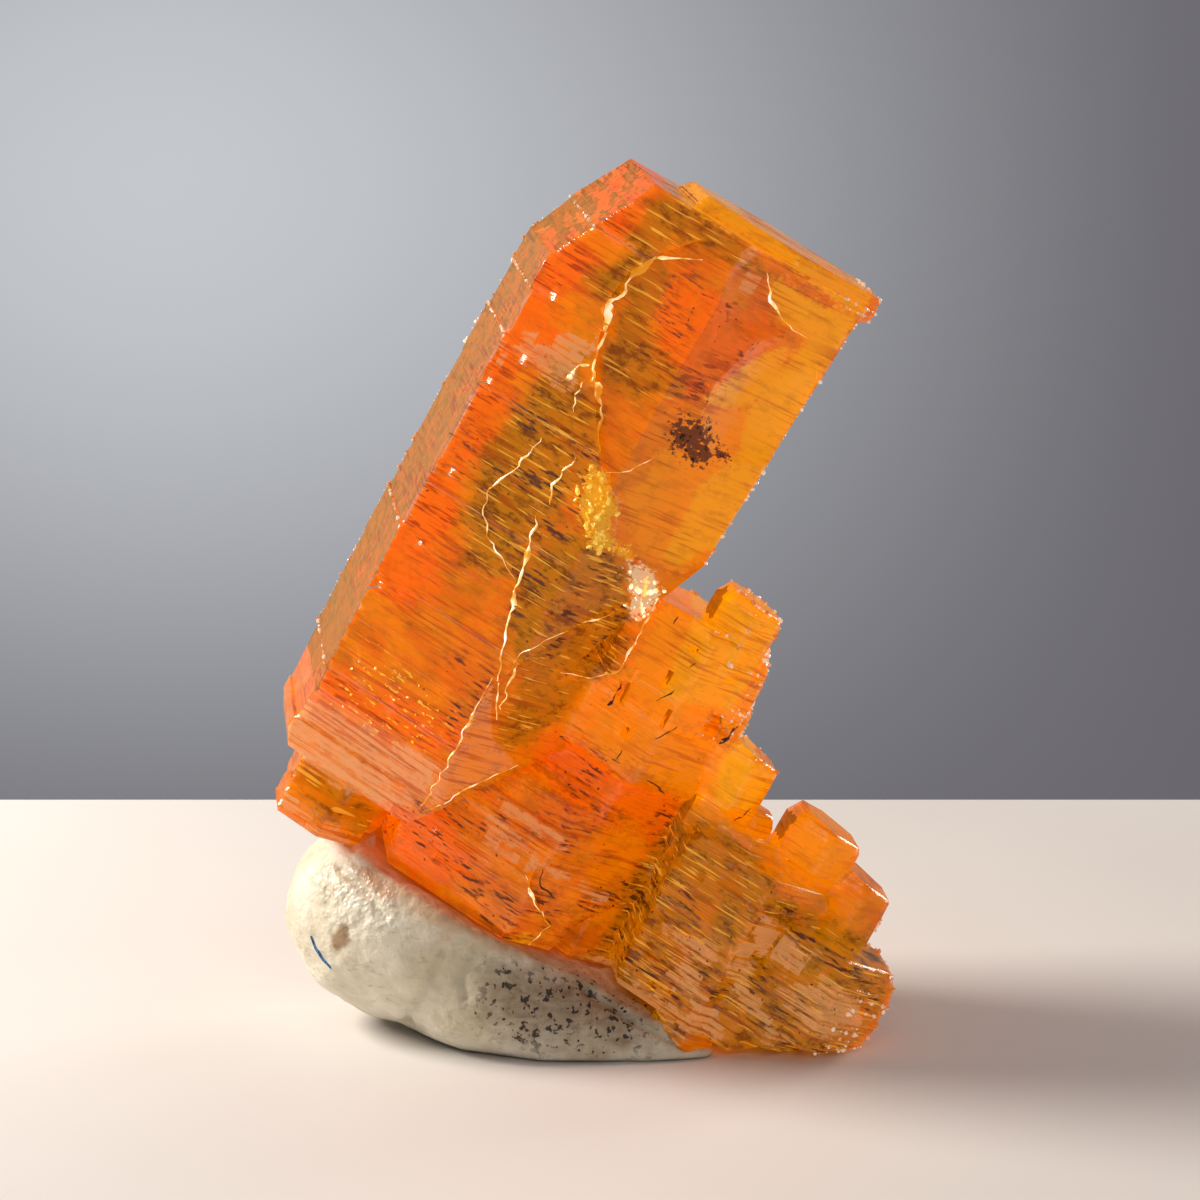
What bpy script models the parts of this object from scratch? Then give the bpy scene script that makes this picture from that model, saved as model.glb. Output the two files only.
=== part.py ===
# Mimetite: a parallel group of six-sided orange crystals, stood upright in a lump of mounting putty.
# Metres, +Z up. The front faces -Y, and the crystals' common axis leans to the right, towards +X.
# The origin is on the surface that the putty stands on, under the middle of the whole object.
import math
import random

import bmesh
import bpy
from mathutils import Matrix, Vector, noise

MM = 0.001

# Driving dimensions, in millimetres and degrees.
# across and up are measured square to the crystals' axis and along it, front is towards the viewer.
LEAN_DEG = 28.7
RIDGE_TURN_DEG = 8.0  # each crystal's front ridge from straight ahead, towards +X
AXES_ORIGIN = (-7.81, 0.0, 9.17)  # where across, front and up are all nought
END_SLOPE_DEG = 27.0  # the narrow end faces from the axis
SMALL_END_FACE = 0.3
LEDGE_RISE = 0.04
LEDGE_DEPTH = 0.09
FLOOR_CLEARANCE = 0.06
FLOOR_UNEVEN = 0.1  # how much higher than that a foot can end
PUTTY_GAP = 0.12

# The six side faces, by the way each one looks, in degrees from straight ahead towards +X
SIDES = {
    "front_left": RIDGE_TURN_DEG - 30,
    "front_right": RIDGE_TURN_DEG + 30,
    "right": RIDGE_TURN_DEG + 90,
    "back_right": RIDGE_TURN_DEG + 150,
    "back_left": RIDGE_TURN_DEG + 210,
    "left": RIDGE_TURN_DEG + 270,
}

# The crystals, each by its axis, half width across flats and two ends. top_tip tips the top to the right.
CRYSTALS = {
    "main": {
        "across": 4.18,
        "front": 0.0,
        "apothem": 4.1,
        "bottom": -0.85,
        "top": 16.5,
        "bulge": 0.035,
        "ledges": 12,
        "top_tip": 2.5,
        "top_faces": {
            "left": 2.75,
            "back_left": 1.5,
            "front_left": 0.5,
            "front_right": 0.08,
            "right": 0.08,
        },
        "foot_faces": {"front_left": 2.05, "front_right": 1.5, "left": 0.5, "right": 1.0},
    },
    "cap_plate": {"across": 5.72, "front": -0.1, "apothem": 2.8, "bottom": 15.9, "top": 16.8, "top_tip": 2.5},
    "second": {"across": 7.4, "front": -0.7, "apothem": 3.5, "bottom": -2.46, "top": 1.65, "ledges": 5},
    "core": {"across": 7.2, "front": -1.2, "apothem": 1.9, "bottom": -0.6, "top": 4.4},
    "left_foot": {"across": 2.31, "front": 0.87, "apothem": 1.25, "bottom": -2.56, "top": -1.72},
    "left_root": {"across": 2.5, "front": -0.3, "apothem": 1.42, "bottom": -2.35, "top": 0.3},
    "right_block": {"across": 8.65, "front": 0.55, "apothem": 2.06, "bottom": 2.6, "top": 7.3, "ledges": 4},
    "block_foot": {"across": 8.39, "front": 0.04, "apothem": 2.15, "bottom": 0.4, "top": 3.2},
    "block_top": {"across": 9.54, "front": 1.3, "apothem": 0.92, "bottom": 6.0, "top": 8.33, "top_tip": 8},
    "sliver": {"across": 10.5, "front": 1.55, "apothem": 0.34, "bottom": 5.0, "top": 7.1},
    "sliver_foot": {"across": 10.72, "front": 1.25, "apothem": 0.36, "bottom": 3.6, "top": 5.85},
    "step_one": {"across": 11.5, "front": 0.87, "apothem": 0.86, "bottom": 0.4, "top": 4.78, "top_tip": 14},
    "step_one_back": {"across": 12.47, "front": 0.27, "apothem": 0.68, "bottom": 0.2, "top": 3.3},
    "step_one_plate": {"across": 12.5, "front": 1.0, "apothem": 1.15, "bottom": 1.0, "top": 2.85},
    "step_two": {"across": 14.28, "front": 0.78, "apothem": 1.06, "bottom": 0.0, "top": 3.95, "top_tip": 9},
    "step_three": {"across": 15.8, "front": 0.64, "apothem": 0.98, "bottom": -0.6, "top": 3.1, "top_tip": 12},
    "front_upper": {"across": 13.0, "front": 0.94, "apothem": 2.27, "bottom": 0.0, "top": 2.4, "ledges": 3},
    "front_lower": {"across": 13.02, "front": 0.9, "apothem": 2.2, "bottom": -2.25, "top": 0.6, "ledges": 4},
    "front_foot": {"across": 13.4, "front": 2.2, "apothem": 0.84, "bottom": -2.97, "top": -1.5},
    "front_right": {"across": 15.86, "front": 1.87, "apothem": 1.8, "bottom": -1.2, "top": 1.5, "bulge": 0.1},
    "front_right_low": {"across": 15.06, "front": 1.98, "apothem": 1.41, "bottom": -1.7, "top": 0.2},
    "front_right_foot": {"across": 14.33, "front": 2.05, "apothem": 1.1, "bottom": -2.27, "top": -0.8},
    "under": {"across": 9.7, "front": -0.6, "apothem": 1.75, "bottom": -2.54, "top": 1.2},
    "back_tall": {"across": 6.2, "front": -3.15, "apothem": 1.75, "bottom": -2.2, "top": 7.6, "ledges": 6},
    "back_left": {"across": 3.3, "front": -3.2, "apothem": 1.2, "bottom": -1.2, "top": 10.8, "ledges": 5},
    "back_middle": {"across": 9.1, "front": -2.5, "apothem": 2.0, "bottom": -2.5, "top": 3.9, "ledges": 3},
    "back_low": {"across": 12.2, "front": -1.5, "apothem": 1.6, "bottom": -2.3, "top": 1.9, "ledges": 3},
    "back_corner": {"across": 14.7, "front": -0.9, "apothem": 1.25, "bottom": -1.9, "top": 0.9},
    "back_knob": {"across": 10.9, "front": -3.4, "apothem": 1.0, "bottom": -2.0, "top": 1.2},
}

# Flat breaks: a piece with this outline (across, up) is missing down to a plane through the point "at"
# (across, front, up), which looks to "turn" degrees and leans "dip" degrees downwards.
FLAT_BREAKS = {
    "main": {
        "crack_left": {
            "outline": (
                (2.88, 15.1),
                (2.5, 14.4),
                (2.35, 13.45),
                (2.75, 12.2),
                (3.15, 11.4),
                (4.05, 10.0),
                (5.0, 9.25),
                (5.4, 8.3),
                (5.4, 16.15),
                (3.7, 16.05),
            ),
            "turn": -22,
            "dip": 0,
            "at": (2.9, 3.55, 12.0),
        },
        "crack_right": {
            "outline": (
                (4.1, 9.95),
                (5.0, 9.25),
                (5.4, 8.3),
                (6.35, 8.0),
                (7.1, 6.6),
                (9.8, 6.0),
                (9.8, 16.15),
                (4.1, 16.1),
            ),
            "turn": 38,
            "dip": 1,
            "at": (6.9, 2.55, 12.0),
        },
        "right_edge": {
            "outline": ((6.0, 16.15), (6.0, 5.0), (10.0, 5.0), (10.0, 16.15)),
            "turn": 90,
            "dip": 3,
            "at": (8.15, 1.0, 12.5),
        },
        "right_corner": {
            "outline": ((5.5, 9.0), (5.5, 5.0), (10.0, 5.0), (10.0, 9.0)),
            "turn": 96,
            "dip": 27,
            "at": (7.72, 1.0, 8.2),
        },
        "lower_facet": {
            "outline": (
                (4.3, -2.0),
                (4.3, 3.1),
                (4.73, 4.45),
                (5.42, 5.7),
                (6.3, 6.9),
                (9.5, 7.0),
                (9.5, -2.0),
            ),
            "turn": 45,
            "dip": 0,
            "at": (4.42, 4.4, 0.0),
        },
        "lower_corner": {
            "outline": ((4.0, -2.0), (4.0, 2.4), (9.5, 2.4), (9.5, -2.0)),
            "turn": 80,
            "dip": 36,
            "at": (5.4, 3.45, 0.7),
        },
    },
    "right_block": {
        "shadow": {
            "outline": ((9.95, 4.65), (9.95, 5.3), (11.5, 5.3), (11.5, 4.65)),
            "turn": 38,
            "dip": 0,
            "at": (10.2, 1.35, 5.0),
        },
    },
    "second": {
        "end_notch": {
            "outline": ((7.8, -0.2), (7.85, -0.75), (8.75, -1.55), (11.5, -1.9), (11.5, -0.1)),
            "turn": 34,
            "dip": -2,
            "at": (8.2, 2.75, 0.0),
        },
    },
}

# Shell-shaped breaks, each a rough ball that is taken out of one crystal: across, front, up, radius
ROUND_BREAKS = {
    "main": {
        "upper_shell": (8.0, 6.3, 15.7, 3.9),
        "side_shell": (9.3, 5.1, 12.9, 3.9),
        "bright_chip": (7.15, 3.6, 7.35, 0.75),
    },
    "second": {"right_end": (12.75, 1.6, -3.2, 3.5)},
    "front_right": {"right_end": (19.35, 1.2, -2.2, 2.3)},
}

# Narrow slots between the blocks on the right, on the front: across, up, width, height
SLOTS = (
    (8.42, 5.6, 0.13, 0.5),
    (8.88, 4.7, 0.1, 0.55),
    (7.6, 4.7, 0.2, 0.6),
    (8.15, 3.85, 0.16, 0.3),
    (8.65, 6.62, 0.22, 0.16),
)
SLOT_BACK = 1.5

# Low growth plates on the side faces: crystal, side, number, most width and height, distance off the middle
PLATES = (
    ("main", "front_left", 7, 1.9, 0.3, -0.95),
    ("main", "back_right", 5, 3.0, 0.9, 0.0),
    ("main", "back_left", 5, 3.0, 1.1, 0.0),
    ("second", "front_left", 4, 2.2, 0.3, 0.0),
    ("front_right", "front_left", 5, 1.3, 0.25, 0.0),
    ("front_right", "front_right", 4, 1.2, 0.3, 0.0),
    ("front_right_low", "front_left", 3, 1.0, 0.25, 0.0),
    ("front_lower", "front_left", 5, 1.6, 0.3, 0.0),
    ("front_upper", "front_left", 2, 1.6, 0.4, 0.0),
    ("right_block", "front_left", 3, 1.2, 0.5, 0.0),
    ("back_tall", "back_left", 4, 1.3, 0.8, 0.0),
    ("back_middle", "back_right", 3, 1.5, 0.6, 0.0),
    ("back_low", "back_right", 3, 1.2, 0.5, 0.0),
)
PLATE_RISE = 0.08
PLATE_ROOT = 0.5

# The putty: a squat lump under the left, a low tongue that runs out to the right, and two folded lobes
PUTTY_LUMPS = (
    ((-3.55, 0.3, 3.1), (4.4, 3.65, 3.25)),
    ((-2.2, -0.65, 1.45), (2.9, 3.1, 2.1)),
    ((0.1, -0.5, 0.4), (3.9, 3.25, 1.7)),
    ((2.3, -2.2, -0.1), (1.8, 1.5, 0.72)),
)
PUTTY_BRIM_UP = -2.5  # the putty stops here in front of the crystals, level with their feet
# The flat underside, as world x and y; above it the skin curls outwards
PUTTY_FOOT = (
    (-4.3, -1.0),
    (-3.0, -2.5),
    (-1.0, -3.3),
    (1.6, -3.4),
    (3.3, -3.1),
    (3.6, -1.6),
    (1.9, 1.4),
    (-0.7, 2.35),
    (-3.1, 1.9),
    (-4.4, 0.6),
)
PUTTY_FOOT_CURL = 0.3
PUTTY_GRAIN = 0.42
PUTTY_UNEVEN = 0.12


def start_clean():
    for old in list(bpy.data.objects):
        bpy.data.objects.remove(old)


def new_collection(name):
    made = bpy.data.collections.new(name)
    bpy.context.scene.collection.children.link(made)
    return made


def plain_material(name, colour, roughness, transmission=0.0):
    material = bpy.data.materials.new(name)
    material.use_nodes = True
    shader = material.node_tree.nodes["Principled BSDF"]
    shader.inputs["Base Color"].default_value = (*colour, 1.0)
    shader.inputs["Roughness"].default_value = roughness
    shader.inputs["Metallic"].default_value = 0.0
    shader.inputs["Transmission Weight"].default_value = transmission
    return material


def add_object(name, bm, collection, parent=None, helper=False):
    """Turns a bmesh in millimetres into an object in metres."""
    bmesh.ops.recalc_face_normals(bm, faces=bm.faces)
    bmesh.ops.scale(bm, vec=(MM, MM, MM), verts=bm.verts)
    mesh = bpy.data.meshes.new(name)
    bm.to_mesh(mesh)
    bm.free()
    made = bpy.data.objects.new(name, mesh)
    collection.objects.link(made)
    made.parent = parent
    if helper:
        made.hide_render = True
        made.display_type = "WIRE"
    return made


def facing(turn, dip=0.0):
    """The direction that looks to turn degrees from straight ahead and dip degrees down."""
    turn = math.radians(turn)
    dip = math.radians(dip)
    level = Vector((math.sin(turn), -math.cos(turn), 0.0))
    return level * math.cos(dip) - Vector((0, 0, math.sin(dip)))


def shave(bm, point, normal):
    """Cuts away what lies beyond a plane and closes the cut with one flat face."""
    everything = bm.verts[:] + bm.edges[:] + bm.faces[:]
    cut = bmesh.ops.bisect_plane(
        bm, geom=everything, dist=1e-5, plane_co=point, plane_no=normal, clear_outer=True
    )
    rim = [part for part in cut["geom_cut"] if isinstance(part, bmesh.types.BMEdge)]
    if rim:
        bmesh.ops.edgenet_fill(bm, edges=rim)


def end_planes(shape, grow):
    """The narrow end faces and the tipped top of one crystal, as points and normals from its axis."""
    apothem = shape["apothem"] + grow
    small = min(SMALL_END_FACE, 0.15 * (shape["top"] - shape["bottom"]))
    for side, turn in SIDES.items():
        level = facing(turn) * apothem
        down = shape["bottom"] - grow + shape.get("foot_faces", {}).get(side, small)
        yield level + Vector((0, 0, down)), facing(turn, END_SLOPE_DEG)
        up = shape["top"] + grow - shape.get("top_faces", {}).get(side, small)
        yield level + Vector((0, 0, up)), facing(turn, -END_SLOPE_DEG)
    tip = math.radians(shape.get("top_tip", 0.0))
    yield Vector((0, 0, shape["top"] + grow)), Vector((math.sin(tip), 0, math.cos(tip)))


def crystal_bmesh(name, shape, grow=0.0):
    """One six-sided crystal: a prism with narrow end faces, a slight barrel bulge and growth ledges.

    It is cut off level where it would reach the surface below.
    The grown copies are not, since they only make room in the putty.
    """
    apothem = shape["apothem"] + grow
    spare = apothem * math.tan(math.radians(shape.get("top_tip", 0.0)))
    bottom = shape["bottom"] - grow
    top = shape["top"] + grow + spare
    middle = (top + bottom) / 2
    half = (top - bottom) / 2
    radius = apothem / math.cos(math.radians(30))
    turned = Matrix.Translation((0, 0, middle)) @ Matrix.Rotation(math.radians(RIDGE_TURN_DEG), 4, "Z")
    bm = bmesh.new()
    bmesh.ops.create_cone(
        bm, cap_ends=True, segments=6, radius1=radius, radius2=radius, depth=2 * half, matrix=turned
    )
    for point, normal in end_planes(shape, grow):
        shave(bm, point, normal)
    chance = random.Random(name)
    count = 0 if grow else shape.get("ledges", 2)
    pitch = (top - bottom) / (count + 1)
    ledges = [bottom + pitch * (i + 1 + chance.uniform(-0.35, 0.35)) for i in range(count)]
    insets = [chance.uniform(0.0, LEDGE_DEPTH) for _ in range(count + 1)]
    for height in [middle] + [ledge + rise for ledge in ledges for rise in (0, LEDGE_RISE)]:
        everything = bm.verts[:] + bm.edges[:] + bm.faces[:]
        bmesh.ops.bisect_plane(bm, geom=everything, dist=1e-5, plane_co=(0, 0, height), plane_no=(0, 0, 1))
    bulge = shape.get("bulge", 0.04)
    for vert in bm.verts:
        passed = sum(vert.co.z > ledge + LEDGE_RISE / 2 for ledge in ledges)
        barrel = bulge * ((vert.co.z - middle) / half) ** 2
        scale = 1 - barrel - (insets[passed] / apothem if ledges else 0.0)
        vert.co.x *= scale
        vert.co.y *= scale
    bmesh.ops.translate(bm, vec=(shape["across"], -shape["front"], 0), verts=bm.verts)
    if not grow:
        lean = math.radians(LEAN_DEG)
        clearance = FLOOR_CLEARANCE + FLOOR_UNEVEN * random.Random("foot of " + name).random()
        lowest = Vector((0, 0, (clearance - AXES_ORIGIN[2]) / math.cos(lean)))
        shave(bm, lowest, Vector((math.sin(lean), 0, -math.cos(lean))))
    bmesh.ops.triangulate(bm, faces=bm.faces)
    return bm


def growth_plates(crystal, side, count, most_wide, most_tall, shift):
    """Thin raised plates on one side of a crystal, longest across the axis, as boxes rooted inside it."""
    shape = CRYSTALS[crystal]
    chance = random.Random(crystal + side)
    outwards = facing(SIDES[side])
    along = Vector((0, 0, 1)).cross(outwards)
    length = shape["top"] - shape["bottom"]
    middle = (shape["top"] + shape["bottom"]) / 2
    half_face = shape["apothem"] * math.tan(math.radians(30))
    for i in range(count):
        wide = most_wide * chance.uniform(0.45, 1.0)
        tall = most_tall * chance.uniform(0.4, 1.0)
        room = max(half_face - abs(shift) - wide / 2 - 0.15, 0)
        place = shift + room * chance.uniform(-1, 1)
        up = shape["bottom"] + length * (0.16 + 0.7 * (i + chance.uniform(0.15, 0.85)) / count)
        barrel = shape.get("bulge", 0.04) * ((up - middle) / (length / 2)) ** 2
        rise = PLATE_RISE * chance.uniform(0.3, 1.0)
        reach = shape["apothem"] * (1 - barrel) + rise - LEDGE_DEPTH / 2 - PLATE_ROOT / 2
        centre = outwards * reach + along * place + Vector((shape["across"], -shape["front"], up))
        axes = Matrix((along * wide, outwards * PLATE_ROOT, Vector((0, 0, tall)))).transposed().to_4x4()
        bm = bmesh.new()
        bmesh.ops.create_cube(bm, size=1.0, matrix=Matrix.Translation(centre) @ axes)
        yield bm


def rough_ball(centre, radius):
    """A ball with a gently uneven skin, for a shell-shaped break."""
    bm = bmesh.new()
    bmesh.ops.create_icosphere(bm, subdivisions=4, radius=radius)
    for vert in bm.verts:
        spot = Vector(centre) + vert.co
        uneven = 0.12 * noise.noise(spot * 0.7) + 0.04 * noise.noise(spot * 2.1)
        vert.co += vert.co.normalized() * uneven
    bmesh.ops.translate(bm, vec=(centre[0], -centre[1], centre[2]), verts=bm.verts)
    return bm


def missing_piece(outline, turn, dip, at):
    """What a flat break takes away: the outline carried in from the front, down to the break's plane."""
    bm = bmesh.new()
    corners = [bm.verts.new((across, -9.0, up)) for across, up in outline]
    front = bm.faces.new(corners)
    swept = bmesh.ops.extrude_face_region(bm, geom=[front])
    moved = [part for part in swept["geom"] if isinstance(part, bmesh.types.BMVert)]
    bmesh.ops.translate(bm, vec=(0, 12.0, 0), verts=moved)
    bmesh.ops.recalc_face_normals(bm, faces=bm.faces)
    shave(bm, Vector((at[0], -at[1], at[2])), -facing(turn, dip))
    bmesh.ops.triangulate(bm, faces=bm.faces)
    return bm


def add_boolean(target, operation, operand=None, collection=None):
    made = target.modifiers.new(operation.lower(), "BOOLEAN")
    made.operation = operation
    made.solver = "EXACT"
    if collection:
        made.operand_type = "COLLECTION"
        made.collection = collection
    else:
        made.object = operand


def build_breaks(crystal, target, cutters, axes):
    for name, piece in FLAT_BREAKS.get(crystal, {}).items():
        cutter = add_object(f"break_{crystal}_{name}", missing_piece(**piece), cutters, axes, helper=True)
        add_boolean(target, "DIFFERENCE", cutter)
    for name, (across, front, up, radius) in ROUND_BREAKS.get(crystal, {}).items():
        ball = rough_ball((across, front, up), radius)
        cutter = add_object(f"shell_{crystal}_{name}", ball, cutters, axes, helper=True)
        add_boolean(target, "DIFFERENCE", cutter)


def build_slots(target, cutters, axes):
    for i, (across, up, width, height) in enumerate(SLOTS):
        bm = bmesh.new()
        deep = 4.0
        centre = Matrix.Translation((across, -SLOT_BACK - deep / 2, up))
        bmesh.ops.create_cube(bm, size=1.0, matrix=centre @ Matrix.Diagonal((width, deep, height, 1)))
        add_boolean(target, "DIFFERENCE", add_object(f"slot_{i}", bm, cutters, axes, helper=True))


def build_crystals(shown, axes):
    growth = new_collection("crystals_to_join")
    cutters = new_collection("crystal_cutters")
    grown = {}
    for name, shape in CRYSTALS.items():
        if name == "main":
            grown[name] = add_object("mimetite_crystals", crystal_bmesh(name, shape), shown, axes)
        else:
            grown[name] = add_object(name, crystal_bmesh(name, shape), growth, axes, helper=True)
        build_breaks(name, grown[name], cutters, axes)
    for kind in PLATES:
        for i, plate in enumerate(growth_plates(*kind)):
            add_object(f"plate_{kind[0]}_{kind[1]}_{i}", plate, growth, axes, helper=True)
    whole = grown["main"]
    whole.data.materials.append(plain_material("mimetite", (0.95, 0.36, 0.02), 0.12, 0.85))
    add_boolean(whole, "UNION", collection=growth)
    build_slots(whole, cutters, axes)


def putty_foot():
    """The lowest slice of the putty: the underside's outline, flaring upwards past the height of the curl."""
    bm = bmesh.new()
    foot = bm.faces.new([bm.verts.new((x, y, 0.0)) for x, y in PUTTY_FOOT])
    swept = bmesh.ops.extrude_face_region(bm, geom=[foot])
    rim = [part for part in swept["geom"] if isinstance(part, bmesh.types.BMVert)]
    middle = sum((vert.co for vert in rim), Vector()) / len(rim)
    for vert in rim:
        vert.co += (vert.co - middle).normalized() * 4 * PUTTY_FOOT_CURL
        vert.co.z = 2 * PUTTY_FOOT_CURL
    return bm


def build_putty(shown, axes):
    lumps = new_collection("putty_lumps")
    cutters = new_collection("putty_cutters")
    bm = bmesh.new()
    for centre, radii in PUTTY_LUMPS:
        place = Matrix.Translation(centre) @ Matrix.Diagonal((*radii, 1))
        made = bmesh.ops.create_icosphere(bm, subdivisions=4, radius=1.0, matrix=place)
        for vert in made["verts"]:
            outwards = (vert.co - Vector(centre)).normalized()
            vert.co += outwards * PUTTY_UNEVEN * noise.noise(vert.co * 0.6)
    putty = add_object("mounting_putty", bm, shown)
    putty.data.materials.append(plain_material("putty", (0.78, 0.74, 0.66), 0.5))
    remesh = putty.modifiers.new("one_skin", "REMESH")
    remesh.mode = "VOXEL"
    remesh.voxel_size = PUTTY_GRAIN * MM
    smooth = putty.modifiers.new("pressed_smooth", "SMOOTH")
    smooth.factor = 0.5
    smooth.iterations = 5
    floor = bmesh.new()
    below = Matrix.Translation((0, 0, PUTTY_FOOT_CURL - 5))
    bmesh.ops.create_cube(floor, size=1.0, matrix=below @ Matrix.Diagonal((40, 40, 10, 1)))
    under = add_object("under_the_putty", floor, lumps, helper=True)
    add_boolean(under, "DIFFERENCE", add_object("putty_foot", putty_foot(), lumps, helper=True))
    add_boolean(putty, "DIFFERENCE", under)
    brim = bmesh.new()
    thick = 6.0
    place = Matrix.Translation((4.5, -4.5, PUTTY_BRIM_UP + thick / 2))
    bmesh.ops.create_cube(brim, size=1.0, matrix=place @ Matrix.Diagonal((16.0, 8.0, thick, 1)))
    add_boolean(putty, "DIFFERENCE", add_object("putty_brim", brim, lumps, axes, helper=True))
    for name, shape in CRYSTALS.items():
        room = crystal_bmesh(name, shape, grow=PUTTY_GAP)
        add_object("room_for_" + name, room, cutters, axes, helper=True)
    add_boolean(putty, "DIFFERENCE", collection=cutters)


def main():
    start_clean()
    shown = new_collection("mimetite")
    axes = bpy.data.objects.new("crystal_axes", None)
    bpy.context.scene.collection.objects.link(axes)
    axes.location = Vector(AXES_ORIGIN) * MM
    axes.rotation_euler = (0, math.radians(LEAN_DEG), 0)
    build_crystals(shown, axes)
    build_putty(shown, axes)


main()
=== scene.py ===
import math
import random

import bmesh
import bpy
import numpy as np
from mathutils import Matrix, Vector, noise
from mathutils.bvhtree import BVHTree


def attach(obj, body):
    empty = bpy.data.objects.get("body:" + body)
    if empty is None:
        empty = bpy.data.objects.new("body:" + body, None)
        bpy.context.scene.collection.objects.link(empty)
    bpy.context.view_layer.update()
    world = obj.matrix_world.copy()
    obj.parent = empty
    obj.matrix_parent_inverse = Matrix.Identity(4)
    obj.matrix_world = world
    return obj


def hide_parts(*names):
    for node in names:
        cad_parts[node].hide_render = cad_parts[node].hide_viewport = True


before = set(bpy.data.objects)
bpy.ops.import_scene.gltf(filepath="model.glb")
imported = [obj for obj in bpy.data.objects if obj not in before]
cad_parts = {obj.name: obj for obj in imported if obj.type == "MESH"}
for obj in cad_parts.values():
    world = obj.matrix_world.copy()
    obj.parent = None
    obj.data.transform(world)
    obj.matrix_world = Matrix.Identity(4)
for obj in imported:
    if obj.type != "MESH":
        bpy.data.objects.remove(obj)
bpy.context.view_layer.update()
mm = 0.001

# All the crystals share one leaning axis. Places on them are (across, front, up) in millimetres.
axesPlace = {"leanDeg": 28.7, "origin": (-7.81, 0.0, 9.17)}
lean = math.radians(axesPlace["leanDeg"])
leanTurn = Matrix.Rotation(lean, 3, "Y")


def toWorld(across, front, up):
    return (leanTurn @ Vector((across, -front, up)) + Vector(axesPlace["origin"])) * mm


def toCrystal(points):  # an array of world metres to across, front, up
    local = (np.asarray(points) / mm - np.array(axesPlace["origin"])) @ np.array(leanTurn)
    return local[:, 0], -local[:, 1], local[:, 2]


def srgb(red, green, blue):  # 0 to 255, to the linear colour a shader takes
    parts = [c / 255 for c in (red, green, blue)]
    return tuple(c / 12.92 if c <= 0.04045 else ((c + 0.055) / 1.055) ** 2.4 for c in parts) + (1.0,)


class Value:  # a node's output that takes part in plain arithmetic
    def __init__(self, maker, socket):
        self.maker = maker
        self.socket = socket

    def math(self, operation, first, second, clamp=False):
        settings = {"operation": operation, "use_clamp": clamp}
        return self.maker.node("ShaderNodeMath", settings, {0: first, 1: second})

    def __add__(self, other):
        return self.math("ADD", self, other)

    def __radd__(self, other):
        return self.math("ADD", other, self)

    def __sub__(self, other):
        return self.math("SUBTRACT", self, other)

    def __rsub__(self, other):
        return self.math("SUBTRACT", other, self)

    def __mul__(self, other):
        return self.math("MULTIPLY", self, other)

    def __rmul__(self, other):
        return self.math("MULTIPLY", other, self)

    def __truediv__(self, other):
        return self.math("DIVIDE", self, other)

    def atLeast(self, other):
        return self.math("MAXIMUM", self, other)

    def size(self):
        return self.math("ABSOLUTE", self, 0.0)

    def clamped(self):
        return self.math("ADD", self, 0.0, clamp=True)

    def between(self, low, high):  # 0 below low, 1 above high, eased
        settings = {"interpolation_type": "SMOOTHSTEP"}
        return self.maker.node("ShaderNodeMapRange", settings, {0: self, 1: low, 2: high})


class NodeMaker:
    def __init__(self, tree):
        self.tree = tree

    def node(self, kind, settings=None, sockets=None, out=0):
        made = self.tree.nodes.new(kind)
        for name, value in (settings or {}).items():
            setattr(made, name, value)
        for name, value in (sockets or {}).items():
            self.feed(made.inputs[name], value)
        return Value(self, made.outputs[out])

    def feed(self, socket, value):
        if isinstance(value, Value):
            self.tree.links.new(value.socket, socket)
        elif value is not None:
            socket.default_value = value

    def vector(self, operation, first, second):
        return self.node("ShaderNodeVectorMath", {"operation": operation}, {0: first, 1: second})

    def noise(self, place, stretch, detail=2.0, roughness=0.5, distortion=0.0):
        spread = self.vector("MULTIPLY", place, stretch)
        sockets = {"Vector": spread, "Scale": 1.0, "Detail": detail, "Roughness": roughness}
        return self.node("ShaderNodeTexNoise", {}, {**sockets, "Distortion": distortion})

    def noises(self, place, patterns):  # each pattern's noise by its name
        return {name: self.noise(place, **settings) for name, settings in patterns.items()}

    def mix(self, factor, first, second, blend="MIX"):
        settings = {"data_type": "RGBA", "blend_type": blend}
        return self.node("ShaderNodeMix", settings, {0: factor, 6: first, 7: second}, out=2)

    def attribute(self, name):
        return self.node("ShaderNodeAttribute", {"attribute_name": name}, out=2)


class Finish(NodeMaker):  # one material, with its Principled shader ready
    def __init__(self, name, **plain):
        self.material = bpy.data.materials.new(name)
        self.material.use_nodes = True
        self.material.cycles.emission_sampling = "NONE"  # a faint glow of many small faces, not a lamp
        super().__init__(self.material.node_tree)
        self.shader = self.tree.nodes["Principled BSDF"]
        for socket, value in plain.items():
            self.set(socket.replace("_", " "), value)

    def set(self, socket, value):
        self.feed(self.shader.inputs[socket], value)

    def millimetres(self, turned=True):  # object coordinates, along the crystals' axes if turned
        place = self.node("ShaderNodeTexCoord", out=3)
        if not turned:
            return self.vector("MULTIPLY", place, (1 / mm, 1 / mm, 1 / mm))
        shift = leanTurn.transposed() @ -Vector(axesPlace["origin"])
        sockets = {"Vector": place, "Location": shift, "Rotation": (0, -lean, 0), "Scale": (1 / mm,) * 3}
        return self.node("ShaderNodeMapping", {"vector_type": "POINT"}, sockets)

    def bump(self, height, distance, strength):
        sockets = {"Height": height, "Distance": distance, "Strength": strength}
        return self.node("ShaderNodeBump", {}, sockets)


def newObject(name, mesh, material=None):
    made = bpy.data.objects.new(name, mesh)
    bpy.context.scene.collection.objects.link(made)
    if material:
        made.data.materials.clear()
        made.data.materials.append(material)
    return made


def asMesh(bm, name):
    mesh = bpy.data.meshes.new(name)
    bm.to_mesh(mesh)
    bm.free()
    return mesh


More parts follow.
